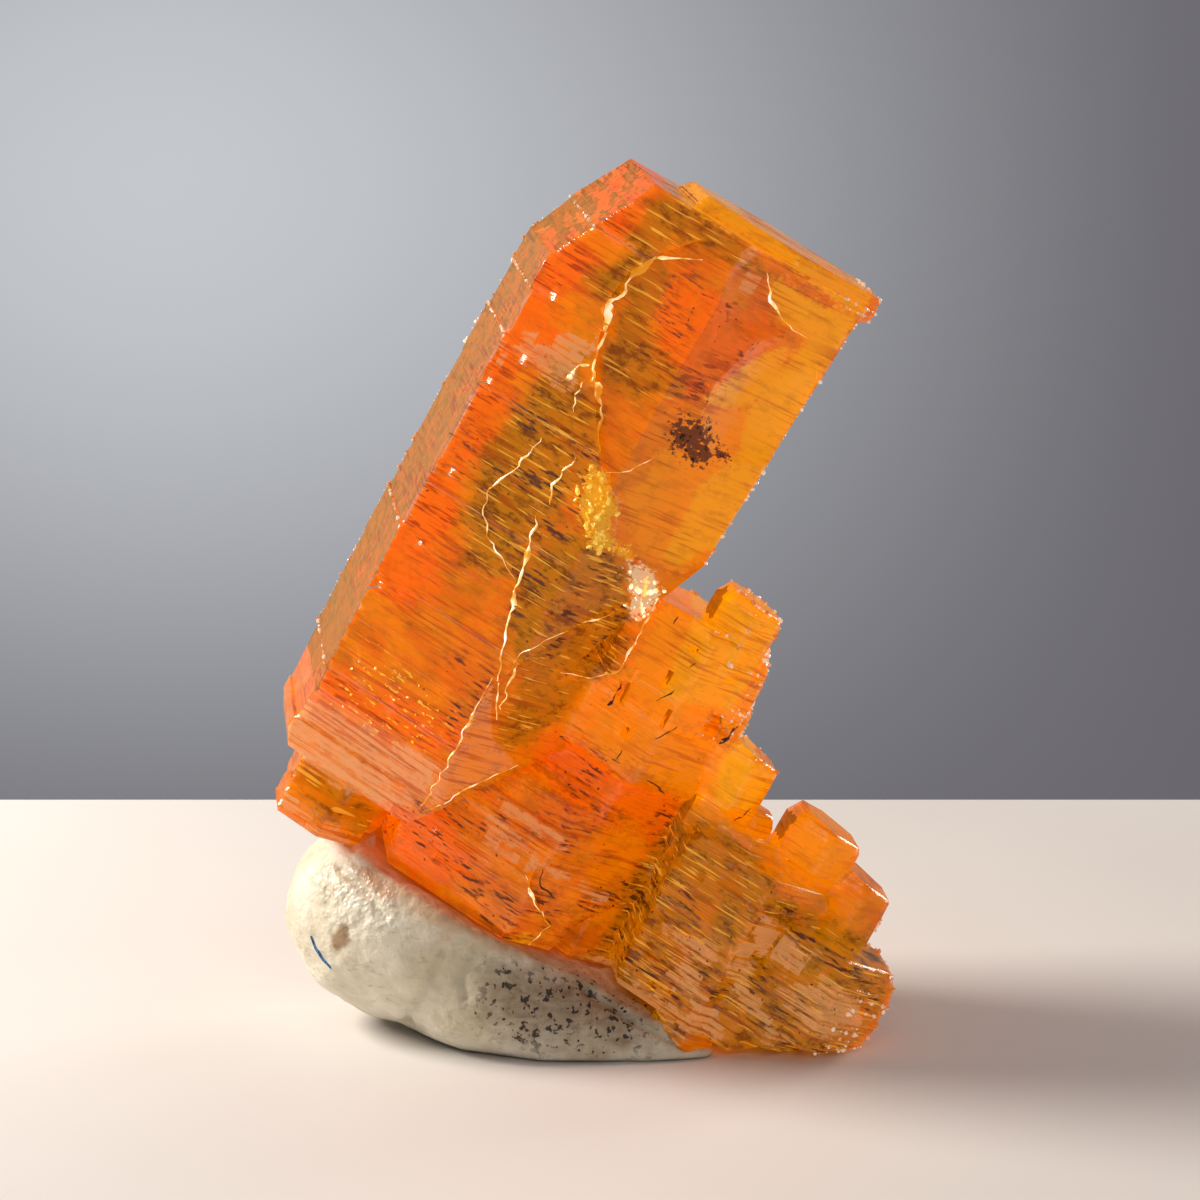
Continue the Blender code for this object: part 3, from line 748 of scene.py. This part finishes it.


def mimetiteFinish(colours, patterns, glass):
    finish = Finish("mimetiteCrystal", Transmission_Weight=glass["transmission"], IOR=glass["ior"])
    finish.set("Specular IOR Level", glass["specular"])
    place = finish.millimetres()
    noises = finish.noises(place, patterns)
    drift = noises["drift"] - 0.5
    grain = noises["grain"] - 0.5
    blocks = finish.vector("SNAP", place, reflectionBlocks["size"])
    stepped = (finish.noise(blocks, reflectionBlocks["stretch"], 0.0) - 0.5) * reflectionBlocks["shift"]

    def marks(name, source=None):
        return (source or noises[name]).between(*markEdges[name])

    shifts = {"edge": drift * wavyEdge["drift"] + grain * wavyEdge["grain"], "grain": grain}

    def zone(kind, extra=None):
        soft, source, share = zoneBorders[kind]
        shift = shifts[source] if share == 1.0 else shifts[source] * share
        border = finish.attribute(kind) + (extra + shift if extra else shift)
        return border.between(-soft, soft)

    covers = mimetiteCovers
    olive = zone("olive")
    red = zone("red")
    rim = zone("rim")
    paleReflections = zone("pale", stepped)
    patches = marks("patches")
    calm = marks("calm")
    shadow = marks("shadow", 1.0 - noises["mottle"])
    veins = marks("veins", noises["bands"] + grain * veinGrain)
    dashes = marks("dash") * patches * (zone("dash") + covers["stray dash"]).clamped()
    layers = (
        ("red", red, "MIX"),
        ("orange", zone("orange"), "MIX"),
        ("olive", olive * covers["olive"], "MIX"),
        ("amber", zone("amber"), "MIX"),
        # painted shade on the left face
        ("rim", rim, "MIX"),
        ("facet", zone("facet") * covers["facet"], "MIX"),
        ("mottle", marks("mottle") * covers["mottle"], "SOFT_LIGHT"),
        ("shadow", shadow * (covers["shadow"] + olive * covers["olive shadow"]), "MULTIPLY"),
        ("bands", marks("bands") * (covers["bands"] + calm * covers["calm bands"]), "MULTIPLY"),
        ("feathers", marks("feathers") * red * covers["feathers"], "MIX"),
        ("ticks", marks("ticks") * red * calm * covers["ticks"], "MIX"),
        ("dash", dashes * covers["dash"], "MIX"),
        ("glints", marks("glints") * olive * covers["glints"], "MIX"),
        ("specks", marks("specks", noises["grain"]) * patches * covers["specks"], "MIX"),
        # painted reflections and sheen, broken by darker veins
        ("pale", paleReflections * (covers["pale"] - veins * covers["veins"]), "MIX"),
        ("shade", zone("shade") * dashes.atLeast(covers["least shade"]) * covers["shade"], "MIX"),
        ("dark", zone("dark") * covers["dark"], "MIX"),
        ("gold", zone("gold"), "MIX"),
        ("glare", zone("glare") * covers["glare"], "MIX"),
        ("fleck", marks("fleck") * zone("fleck"), "MIX"),
    )
    colour = finish.mix(marks("drift"), colours["body"], colours["brown"])
    for name, cover, blend in layers:
        colour = finish.mix(cover, colour, colours[name], blend)
    finish.set("Base Color", colour)
    finish.set("Emission Color", colour)
    finish.set("Emission Strength", glass["glow"])
    rough = glass["rough"]
    roughness = rough["least"] + patches * rough["patches"] + dashes * rough["dash"]
    finish.set("Roughness", (roughness + paleReflections * rough["pale"] + rim * rough["rim"]).clamped())
    height = noises["bands"] + grain * glass["bumpGrain"]
    finish.set("Normal", finish.bump(height, glass["bumpHeight"] * mm, glass["bumpStrength"]))
    sockets = {"Color": glass["absorb"], "Density": glass["density"]}
    absorb = finish.node("ShaderNodeVolumeAbsorption", {}, sockets)
    finish.feed(finish.tree.nodes["Material Output"].inputs["Volume"], absorb)
    return finish.material


def makeCrystals(shape, relief):
    bm = cadCopy("mimetite_crystals")
    refine(bm, shape["longestEdge"] * mm, shape["splits"])
    material = mimetiteFinish(mimetiteColours, mimetitePatterns, mimetiteGlass)
    crystals = newObject("crystals", asMesh(bm, "crystals"), material)
    runTree(crystals, reliefTree(relief, reliefPatterns, material), relief)
    paintZones(crystals, paintLimits)
    shadeWithSharpEdges(crystals, shape["sharpDeg"])
    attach(crystals, "root")
    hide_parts("mimetite_crystals")
    print("crystals:", len(crystals.data.polygons), "triangles")
    return crystals


crystals = makeCrystals(crystalShape, crystalRelief)

print("stage: cracks in the crystals")


def surfaceOf(obj):
    bm = bmesh.new()
    bm.from_mesh(obj.data)
    tree = BVHTree.FromBMesh(bm)
    bm.free()
    return tree


crystalSurface = surfaceOf(crystals)
beforeFront = 14.0  # a distance to the front, clear of every crystal


def onCrystals(across, up):  # the nearest point to the front, and the way its face looks
    hit = crystalSurface.ray_cast(toWorld(across, beforeFront, up), Vector((0, 1, 0)))
    return (hit[0], hit[1]) if hit[0] else None


# Each crack by its half width at a share of 1, and its places across and up
cracks = {
    "upper": (0.085, (
        (3.9, 15.55), (3.4, 15.3), (2.88, 15.01), (2.68, 14.69), (2.6, 14.31), (2.6, 13.69), (2.38, 13.48),
        (2.62, 13.07), (2.71, 12.44), (2.84, 11.85), (3.17, 11.46), (3.53, 10.97), (3.97, 10.15),
    )),
    "upper side": (0.06, ((2.72, 11.89), (2.5, 11.75), (2.44, 11.4), (2.3, 11.2))),
    "upper twig": (0.05, ((2.84, 11.55), (2.78, 11.11), (2.95, 10.7))),
    "lower": (0.055, (
        (3.37, 7.97), (3.54, 7.35), (3.74, 6.46), (3.88, 5.84), (4.21, 4.71), (4.51, 3.87), (5.01, 2.84),
    )),
    "lower side": (0.05, ((4.7, 4.61), (4.8, 3.72), (4.96, 3.12))),
    "left loop": (0.035, ((2.53, 9.7), (2.4, 8.81), (2.02, 7.91), (2.14, 7.48), (2.46, 6.91), (3.61, 6.28))),
    "right fork": (0.05, ((4.28, 9.73), (4.88, 10.1), (5.23, 10.62))),
    "shell line": (0.035, ((6.43, 6.5), (6.15, 6.16), (5.45, 5.79), (5.09, 5.39), (4.7, 4.86), (4.61, 4.47))),
    "middle hair": (0.04, ((3.51, 9.74), (3.38, 8.86), (3.5, 8.36))),
    "shell rim": (0.035, ((7.26, 7.3), (7.3, 6.05), (7.3, 5.15), (6.78, 4.59), (5.92, 4.51))),
    "facet rim": (0.045, ((4.36, 3.86), (4.4, 1.8), (4.41, -0.23))),
    "facet right": (0.035, ((6.14, 1.78), (5.15, 0.77), (4.56, -0.21))),
    "lens rim": (0.03, ((5.46, 15.98), (5.91, 15.51), (6.6, 15.06), (7.33, 14.99))),
    "second rim": (0.04, ((7.65, -0.6), (8.93, -1.71), (8.68, -2.46))),
}
crackShape = {
    "step": 0.11, "lift": 0.02, "sink": 0.05, "seed": 11,
    "wander": 0.1, "wanderUp": 0.6, "wanderScale": 4.0, "shift": 50,
    "tip": 0.25, "taper": 4.0, "thinnest": 0.2, "widest": 1.6,
    "swell": 4.4, "swellScale": 0.4, "ripple": 0.5, "rippleScale": 1.3,
}


def resampled(line, step):  # points an even step apart along a line of places
    line = [Vector(place) for place in line]
    points = []
    for first, second in zip(line, line[1:]):
        count = max(1, round((second - first).length / step))
        points += [first.lerp(second, k / count) for k in range(count)]
    return points + [line[-1]]


def addStrip(bm, places, widths, lift, sink):  # a closed flat ribbon, each place with the way its face looks
    rings = []
    for k, (place, normal) in enumerate(places):
        along = places[min(k + 1, len(places) - 1)][0] - places[max(k - 1, 0)][0]
        side = along.cross(normal).normalized() * widths[k]
        corners = (place + side, place + normal * lift, place - side, place - normal * sink)
        rings.append([bm.verts.new(corner) for corner in corners])
    for first, second in zip(rings, rings[1:]):
        for k in range(4):
            bm.faces.new((first[k], first[(k + 1) % 4], second[(k + 1) % 4], second[k]))
    bm.faces.new(rings[0])
    bm.faces.new(rings[-1])


crackLook = {
    "ior": 1.6, "glow": 0.6, "stretch": (2.5, 2.5, 2.5), "rough": 0.1, "unevenRough": 0.2,
    "deep": (214, 138, 22), "pale": (255, 226, 150), "palest": (255, 246, 226),
    "paleEdge": (0.42, 0.58), "palestEdge": (0.58, 0.66),
}


def crackFinish(look):
    finish = Finish("crackGlint", IOR=look["ior"], Emission_Strength=look["glow"])
    tone = finish.noise(finish.millimetres(), look["stretch"], 3.0)
    colour = finish.mix(tone.between(*look["paleEdge"]), srgb(*look["deep"]), srgb(*look["pale"]))
    colour = finish.mix(tone.between(*look["palestEdge"]), colour, srgb(*look["palest"]))
    finish.set("Base Color", colour)
    finish.set("Emission Color", colour)
    finish.set("Roughness", look["rough"] + tone * look["unevenRough"])
    return finish.material


def stripWidth(spot, k, count, shape):  # the share of the full width at point k of a strip
    ends = min(1.0, shape["tip"] + shape["taper"] * min(k, count - 1 - k) / count)
    swell = shape["swell"] * noise.noise(spot * shape["swellScale"]) ** 2
    ripple = shape["ripple"] * abs(noise.noise(spot * shape["rippleScale"]))
    return min(shape["widest"], shape["thinnest"] + swell + ripple) * ends


def makeStrips(name, lines, material, shape):
    draw = random.Random(shape["seed"])
    bm = bmesh.new()
    for halfWidth, line in lines.values():
        points = resampled(line, shape["step"])
        shift = Vector((draw.uniform(0, shape["shift"]), draw.uniform(0, shape["shift"]), 0))
        places = []
        widths = []
        for k, point in enumerate(points):
            spot = Vector((point.x, point.y, 0)) * shape["wanderScale"] + shift
            bend = noise.noise(spot) * shape["wander"]
            found = onCrystals(point.x + bend, point.y + bend * shape["wanderUp"])
            if not found:
                continue
            places.append(found)
            widths.append(halfWidth * stripWidth(spot, k, len(points), shape) * mm)
        addStrip(bm, places, widths, shape["lift"] * mm, shape["sink"] * mm)
    bmesh.ops.recalc_face_normals(bm, faces=bm.faces)
    return newObject(name, asMesh(bm, name), material)


def rideAsCrystal(obj):
    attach(obj, "root")
    print(obj.name + ":", len(obj.data.polygons), "faces")


# Short dark strips of painted shade in the slots between the small blocks, set down as the cracks are
slots = {
    "one": (0.045, ((8.52, 5.0), (8.62, 5.25), (8.76, 5.5))),
    "two": (0.03, ((8.9, 4.1), (9.1, 4.34), (9.3, 4.66))),
    "three": (0.06, ((7.5, 4.2), (7.6, 4.6), (7.52, 4.9))),
    "four": (0.05, ((8.76, 6.16), (8.86, 6.36))),
    "five": (0.05, ((8.3, 3.1), (8.36, 3.42))),
    "six": (0.05, ((10.6, 4.56), (10.74, 4.9), (10.8, 5.2))),
    "seven": (0.04, ((7.9, 6.9), (7.98, 7.15))),
    "eight": (0.04, ((9.3, 3.0), (9.7, 2.86), (10.0, 2.8))),
    "nine": (0.045, ((11.9, 2.9), (12.1, 3.1), (12.2, 3.4))),
    "ten": (0.05, ((8.0, -0.3), (8.2, -0.75), (8.7, -0.98))),
}
slotLook = {
    "stretch": (4.0, 4.0, 4.0), "edge": (0.4, 0.6), "rough": 0.5, "unevenRough": 0.3,
    "deep": (58, 30, 4), "brown": (112, 58, 6),
}


def slotFinish(look):
    finish = Finish("slotShade")
    tone = finish.noise(finish.millimetres(), look["stretch"])
    colour = finish.mix(tone.between(*look["edge"]), srgb(*look["deep"]), srgb(*look["brown"]))
    finish.set("Base Color", colour)
    finish.set("Roughness", look["rough"] + tone * look["unevenRough"])
    return finish.material


rideAsCrystal(makeStrips("fractureSheets", cracks, crackFinish(crackLook), crackShape))
rideAsCrystal(makeStrips("blockSlotShade", slots, slotFinish(slotLook), crackShape))

print("stage: chips along the edges and grains in the faces")

# Where the sharp edges are nibbled, as boxes in (across, front, up), low corner then high corner
chipPlaces = {
    "right edge": ((7.6, -6.0, 8.6), (8.9, 6.0, 17.4)),
    "left edge": ((-0.6, -6.0, 1.5), (0.3, 6.0, 15.5)),
    "left rim": ((-0.2, -6.0, 14.0), (0.9, 6.0, 17.4)),
    "front foot": ((16.4, -6.0, -2.6), (18.6, 6.0, 2.2)),
    "block edge": ((9.0, -6.0, 4.6), (12.8, 6.0, 9.0)),
}
chipShape = {"Spacing": 0.1, "Smallest": 0.012, "Largest": 0.08, "Share": 0.55, "Seed": 5}
chipSharpDeg = 35.0  # only edges that are at least this sharp
# The chips are nibbles on the edges; their pale tone and faint glow are a painted sparkle
chipLook = {
    "plain": {"Roughness": 0.12, "IOR": 1.6, "Transmission_Weight": 0.25, "Emission_Strength": 0.2},
    "stretch": (3.0, 3.0, 3.0), "edge": (0.4, 0.6), "amber": (226, 140, 60), "pale": (255, 238, 214),
}


def chipFinish(look):
    finish = Finish("edgeChips", **look["plain"])
    tone = finish.noise(finish.millimetres(), look["stretch"], 1.0)
    # pale tone and faint glow: a painted sparkle
    colour = finish.mix(tone.between(*look["edge"]), srgb(*look["amber"]), srgb(*look["pale"]))
    finish.set("Base Color", colour)
    finish.set("Emission Color", colour)
    return finish.material


grainTurn = (6.3, 6.3, 6.3)  # grains are turned any way, up to this in radians
grainFlatness = 0.7


def scatterGrains(maker, points, seed, material, squash=1.0):  # most grains are small and few are large
    grain = maker.node("GeometryNodeMeshIcoSphere", {}, {"Radius": 1.0, "Subdivisions": 1})
    turn = maker.node("FunctionNodeRandomValue", {"data_type": "FLOAT_VECTOR"}, {1: grainTurn, 8: seed})
    sockets = {2: 0.0, 3: 1.0, 8: seed + 1}
    big = maker.node("FunctionNodeRandomValue", {"data_type": "FLOAT"}, sockets, out=1)
    smallest, largest = given(maker, "Smallest"), given(maker, "Largest")
    big = smallest + (largest - smallest) * big * big
    sides = {0: big * mm, 1: big * mm * grainFlatness, 2: big * mm * squash}
    size = maker.node("ShaderNodeCombineXYZ", {}, sides)
    sockets = {"Points": points, "Instance": grain, "Rotation": turn, "Scale": size}
    endTree(maker, maker.node("GeometryNodeInstanceOnPoints", {}, sockets), material)


def chipTree(inputs, material):  # grains along the given edges
    maker = geometryTree("edgeChips", inputs)
    seed = given(maker, "Seed")
    line = maker.node("GeometryNodeMeshToCurve", {}, {0: given(maker, "Geometry")})
    sockets = {"Curve": line, "Length": given(maker, "Spacing") * mm}
    dots = maker.node("GeometryNodeResampleCurve", {"mode": "LENGTH"}, sockets)
    dots = maker.node("GeometryNodeCurveToPoints", {"mode": "EVALUATED"}, {"Curve": dots})
    kept = maker.node("FunctionNodeRandomValue", {"data_type": "FLOAT"}, {8: seed}, out=1)
    above = {0: kept, 1: given(maker, "Share")}
    dropped = maker.node("FunctionNodeCompare", {"operation": "GREATER_THAN"}, above)
    sockets = {"Geometry": dots, "Selection": dropped}
    dots = maker.node("GeometryNodeDeleteGeometry", {"domain": "POINT"}, sockets)
    scatterGrains(maker, dots, seed, material)
    return maker


flatDeg = 1.0  # faces that meet at less than this are one flat face


def isWithin(place, low, high):
    return all(least <= value <= most for least, value, most in zip(low, place, high))


def sharpEdgesIn(boxes, angleDeg):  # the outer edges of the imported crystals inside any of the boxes
    bm = cadCopy("mimetite_crystals")
    bmesh.ops.dissolve_limit(bm, angle_limit=math.radians(flatDeg), verts=bm.verts, edges=bm.edges)
    kept = bmesh.new()
    for edge in bm.edges:
        if len(edge.link_faces) != 2 or edge.calc_face_angle_signed() < math.radians(angleDeg):
            continue
        across, front, up = toCrystal([(edge.verts[0].co + edge.verts[1].co) / 2])
        middle = (across[0], front[0], up[0])
        if any(isWithin(middle, low, high) for low, high in boxes.values()):
            kept.edges.new([kept.verts.new(vert.co) for vert in edge.verts])
    bm.free()
    return asMesh(kept, "chipEdges")


edgeChips = newObject("edgeChips", sharpEdgesIn(chipPlaces, chipSharpDeg))
rideAsCrystal(runTree(edgeChips, chipTree(chipShape, chipFinish(chipLook)), chipShape))

# The grains that sit in the faces, by the zone they fill, their two colours, roughness and glow
grainKinds = {
    "inclusionGrains": {"zone": "dark", "colours": ((48, 24, 6), (96, 52, 12)), "rough": 0.5, "glow": 0.0},
    "goldFlecks": {"zone": "fleck", "colours": ((255, 190, 30), (255, 236, 120)), "rough": 0.2, "glow": 0.5},
    "goldLeaf": {"zone": "gold", "colours": ((226, 156, 16), (255, 216, 92)), "rough": 0.2, "glow": 0.3},
    "glareLeaf": {"zone": "glare", "colours": ((255, 196, 92), (255, 248, 224)), "rough": 0.1, "glow": 0.9},
    "dashGrains": {"zone": "dash", "colours": ((84, 44, 8), (140, 78, 12)), "rough": 0.5, "glow": 0.0},
}
# Density is how many there are on a square millimetre
grainShapes = {
    "inclusionGrains": {"Density": 24.0, "Smallest": 0.02, "Largest": 0.1, "Seed": 21},
    "goldFlecks": {"Density": 7.0, "Smallest": 0.012, "Largest": 0.06, "Seed": 31},
    "goldLeaf": {"Density": 40.0, "Smallest": 0.03, "Largest": 0.14, "Seed": 61},
    "glareLeaf": {"Density": 26.0, "Smallest": 0.02, "Largest": 0.13, "Seed": 71},
    "dashGrains": {"Density": 3.0, "Smallest": 0.015, "Largest": 0.05, "Seed": 41},
}
leafFlatness = 0.5


def grainTree(name, inputs, zoneName, material):  # grains over the faces inside one zone
    maker = geometryTree(name, inputs)
    zone = maker.node("GeometryNodeInputNamedAttribute", {"data_type": "FLOAT"}, {"Name": zoneName})
    inside = maker.node("FunctionNodeCompare", {"operation": "GREATER_THAN"}, {0: zone, 1: 0.0})
    sockets = {
        "Mesh": given(maker, "Geometry"), "Selection": inside,
        "Density": given(maker, "Density") / (mm * mm), "Seed": given(maker, "Seed"),
    }
    dots = maker.node("GeometryNodeDistributePointsOnFaces", {}, sockets)
    scatterGrains(maker, dots, given(maker, "Seed"), material, squash=leafFlatness)
    return maker


grainLook = {"stretch": (4.0, 4.0, 4.0), "edge": (0.4, 0.6), "unevenRough": 0.15}


def grainFinish(name, settings, look):
    finish = Finish(name, Emission_Strength=settings["glow"])
    tone = finish.noise(finish.millimetres(), look["stretch"]).between(*look["edge"])
    first, second = settings["colours"]
    colour = finish.mix(tone, srgb(*first), srgb(*second))
    finish.set("Base Color", colour)
    finish.set("Emission Color", colour)
    finish.set("Roughness", settings["rough"] + tone * look["unevenRough"])
    return finish.material


def makeGrains(name, base, settings, shape):
    grains = newObject(name, base.data.copy())
    material = grainFinish(name, settings, grainLook)
    return runTree(grains, grainTree(name, shape, settings["zone"], material), shape)


for grainName, grainSettings in grainKinds.items():
    rideAsCrystal(makeGrains(grainName, crystals, grainSettings, grainShapes[grainName]))

print("stage: the putty")

puttyShape = {
    "grain": 0.1, "smoothing": 5, "foldDepth": 0.16, "foldWidth": 0.11, "foldFacing": 0.1,
    "uneven": 0.09, "unevenScale": 0.9, "fine": 0.035, "fineScale": 3.3, "flatBelow": 0.05, "flatBlend": 0.5,
}
# Folds and marks on the putty by their places in the camera's view, across and up from its target
folds = {
    "lobe": ((-4.2, -9.3), (-4.75, -10.4), (-5.1, -11.1), (-4.9, -11.7)),
    "second lobe": ((-3.3, -9.15), (-3.7, -9.9), (-3.6, -10.5)),
    "thumb": ((-6.9, -7.1), (-6.3, -7.6), (-5.7, -8.4)),
    "tail": ((-0.4, -10.3), (1.0, -11.2), (2.4, -11.8)),
}
puttyMarks = {
    "grit": ((-2.9, -9.5), (-0.5, -9.7), (1.6, -11.0), (1.2, -12.0), (-2.0, -12.0), (-3.4, -11.0)),
    "stain": ((-7.1, -8.5), (-6.6, -8.6), (-6.6, -9.3), (-7.1, -9.2)),
    "shine": ((-7.7, -7.2), (-6.4, -6.9), (-5.4, -7.8), (-5.6, -8.6), (-7.0, -8.6)),
    # painted shade, orange-brown, where the putty meets the crystals
    "contactShade": ((-6.2, -6.9), (-2.6, -8.6), (-0.4, -9.0), (0.0, -9.6), (-3.0, -9.2), (-6.4, -7.5)),
}


def frontView(points):  # world metres to millimetres across and up from the target, as the camera sees them
    camera = bpy.context.scene.camera
    turn = np.array(camera.rotation_euler.to_matrix())
    local = (np.asarray(points) - np.array(camera.location)) @ turn
    reach = cameraPlace["distance"] / -local[:, 2]
    return local[:, 0] * reach, local[:, 1] * reach


def onPutty(across, up):  # where a line of sight meets the putty, and the way its skin looks there
    camera = bpy.context.scene.camera
    turn = camera.rotation_euler.to_matrix()
    away = turn @ Vector((across, up, -cameraPlace["distance"]))
    hit = puttySurface.ray_cast(camera.location, away.normalized())
    return hit[0], hit[1]


puttyColours = {
    "light": srgb(240, 232, 210),
    "dull": srgb(214, 202, 174),
    "streak": srgb(168, 150, 118),
    "grit": srgb(128, 96, 56),
    "stain": srgb(140, 96, 40),
    "specks": srgb(60, 46, 34),
    # painted shade where the putty meets the crystals
    "contactShade": srgb(196, 130, 60),
}
puttyPatterns = {
    "cloud": {"stretch": (0.5, 0.5, 0.7), "detail": 4.0},
    "streak": {"stretch": (1.4, 1.4, 3.5), "detail": 4.0, "roughness": 0.6, "distortion": 1.5},
    "wobble": {"stretch": (2.0, 2.0, 2.0), "detail": 3.0},
    "specks": {"stretch": (5.0, 5.0, 5.0)},
    "fine": {"stretch": (6.0, 6.0, 6.0), "detail": 4.0},
    "knobs": {"stretch": (3.0, 3.0, 3.0)},
}
# Each mark's border: how far the wobble shifts it, where it starts and where it is full
puttyBorders = {
    "grit": (1.6, -0.5, 0.9),
    "stain": (0.8, -0.05, 0.2),
    "contactShade": (1.0, -0.3, 0.3),
    "shine": (1.2, -0.2, 0.3),
}
puttyEdges = {"cloud": (0.35, 0.65), "streak": (0.55, 0.75), "specks": (0.58, 0.64)}
puttyCovers = {
    "streak": 0.5, "grit": 0.35, "streaked grit": 0.7, "stain": 0.8, "contactShade": 0.6,
    "specks in grit": 1.2, "stray specks": 0.05,
}
puttySkin = {
    "subsurface": 0.2, "reach": (0.6, 0.45, 0.3), "ior": 1.5,
    "rough": 0.3, "cloudRough": 0.4, "shineSmooth": 0.32,
    "bumpHeight": 0.06, "bumpStrength": 0.7, "streakBump": 0.6, "knobBump": 0.5, "shineKnobs": 2.5,
}


def puttyFinish(colours, patterns, skin):
    finish = Finish("kneadedPutty", Subsurface_Weight=skin["subsurface"], IOR=skin["ior"])
    finish.set("Subsurface Scale", 1.0)
    finish.set("Subsurface Radius", tuple(reach * mm for reach in skin["reach"]))
    place = finish.millimetres(turned=False)
    noises = finish.noises(place, patterns)
    wobble = noises["wobble"] - 0.5

    def mark(kind):
        shift, start, full = puttyBorders[kind]
        return (finish.attribute(kind) + wobble * shift).between(start, full)

    streak = noises["streak"]
    grit = mark("grit")
    shine = mark("shine")
    covers = puttyCovers
    specks = noises["specks"].between(*puttyEdges["specks"])
    layers = (
        ("streak", streak.between(*puttyEdges["streak"]) * covers["streak"]),
        ("grit", grit * (covers["grit"] + streak * covers["streaked grit"])),
        ("stain", mark("stain") * covers["stain"]),
        ("specks", specks * (grit * covers["specks in grit"] + covers["stray specks"]).clamped()),
        # painted shade where the putty meets the crystals
        ("contactShade", mark("contactShade") * covers["contactShade"]),
    )
    clouded = noises["cloud"].between(*puttyEdges["cloud"])
    colour = finish.mix(clouded, colours["light"], colours["dull"])
    for name, cover in layers:
        colour = finish.mix(cover, colour, colours[name])
    finish.set("Base Color", colour)
    rough = skin["rough"] + noises["cloud"] * skin["cloudRough"] - shine * skin["shineSmooth"]
    finish.set("Roughness", rough.clamped())
    knobs = noises["knobs"] * (skin["knobBump"] + shine * skin["shineKnobs"])
    height = noises["fine"] + streak * skin["streakBump"] + knobs
    finish.set("Normal", finish.bump(height, skin["bumpHeight"] * mm, skin["bumpStrength"]))
    return finish.material


def oneSkin(obj, shape):  # the lump as one even, smoothed skin
    remesh = obj.modifiers.new("oneSkin", "REMESH")
    remesh.mode = "VOXEL"
    remesh.voxel_size = shape["grain"] * mm
    smooth = obj.modifiers.new("smooth", "SMOOTH")
    smooth.iterations = shape["smoothing"]
    return plainMesh(obj)


def kneadSkin(obj, shape):  # unevenness all over and the folds in front, with the underside left flat
    points = coordinates(obj.data)
    across, up = frontView(points)
    toCamera = bpy.context.scene.camera.location
    creases = np.zeros(len(points))
    for line in folds.values():
        creases = np.maximum(creases, np.exp(-((lineDistance(across, up, line) / shape["foldWidth"]) ** 2)))
    moved = points.copy()
    for k, vert in enumerate(obj.data.vertices):
        spot = vert.co / mm
        rise = noise.noise(spot * shape["unevenScale"]) * shape["uneven"]
        rise += noise.noise(spot * shape["fineScale"]) * shape["fine"]
        if vert.normal.dot((toCamera - vert.co).normalized()) > shape["foldFacing"]:
            rise -= creases[k] * shape["foldDepth"]
        settle = min(1.0, max(0.0, (spot.z - shape["flatBelow"]) / shape["flatBlend"]))
        moved[k] += np.array(vert.normal) * rise * settle * mm
    moved[:, 2] = np.maximum(moved[:, 2], points[:, 2].min())
    setCoordinates(obj.data, moved)
    for kind, outline in puttyMarks.items():
        made = obj.data.attributes.new(kind, "FLOAT", "POINT")
        made.data.foreach_set("value", insideDistance(across, up, outline).astype(np.float32))


def makePutty(shape):
    putty = oneSkin(newObject("puttyLump", asMesh(cadCopy("mounting_putty"), "puttyLump")), shape)
    putty.data.materials.clear()
    putty.data.materials.append(puttyFinish(puttyColours, puttyPatterns, puttySkin))
    kneadSkin(putty, shape)
    putty.data.shade_smooth()
    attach(putty, "root")
    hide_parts("mounting_putty")
    print("putty:", len(putty.data.polygons), "faces")
    return putty


putty = makePutty(puttyShape)
puttySurface = surfaceOf(putty)

gritKind = {"zone": "grit", "colours": ((34, 26, 18), (84, 62, 40)), "rough": 0.6, "glow": 0.0}
gritShape = {"Density": 12.0, "Smallest": 0.012, "Largest": 0.06, "Seed": 51}
puttyGrit = makeGrains("puttyGrit", putty, gritKind, gritShape)
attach(puttyGrit, "root")
print("grit:", len(puttyGrit.data.polygons), "faces")

# The fibre by its places in the camera's view, as the folds are
fibreShape = {
    "line": ((-7.62, -8.86), (-7.5, -9.2), (-7.3, -9.5), (-7.08, -9.72)),
    "halfWidth": 0.07, "lift": 0.05, "sink": 0.03, "step": 0.06, "bluntness": 1.02,
}
fibreLook = {
    "stretch": (14.0, 14.0, 3.0), "edge": (0.4, 0.6), "rough": 0.7,
    "deep": (30, 84, 132), "pale": (74, 132, 172), "bumpHeight": 0.02, "bumpStrength": 0.6,
}


def fibreFinish(look):
    finish = Finish("blueLint", Roughness=look["rough"])
    strands = finish.noise(finish.millimetres(turned=False), look["stretch"]).between(*look["edge"])
    finish.set("Base Color", finish.mix(strands, srgb(*look["deep"]), srgb(*look["pale"])))
    finish.set("Normal", finish.bump(strands, look["bumpHeight"] * mm, look["bumpStrength"]))
    return finish.material


def makeFibre(shape):
    bm = bmesh.new()
    points = resampled(shape["line"], shape["step"])
    places = [onPutty(point.x, point.y) for point in points]
    places = [(place, normal) for place, normal in places if place]
    middle = (len(places) - 1) / 2
    shares = [math.sqrt(shape["bluntness"] - abs(k - middle) / middle) for k in range(len(places))]
    widths = [shape["halfWidth"] * share * mm for share in shares]
    addStrip(bm, places, widths, shape["lift"] * mm, shape["sink"] * mm)
    bmesh.ops.recalc_face_normals(bm, faces=bm.faces)
    fibre = newObject("lintFibre", asMesh(bm, "lintFibre"), fibreFinish(fibreLook))
    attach(fibre, "root")


makeFibre(fibreShape)
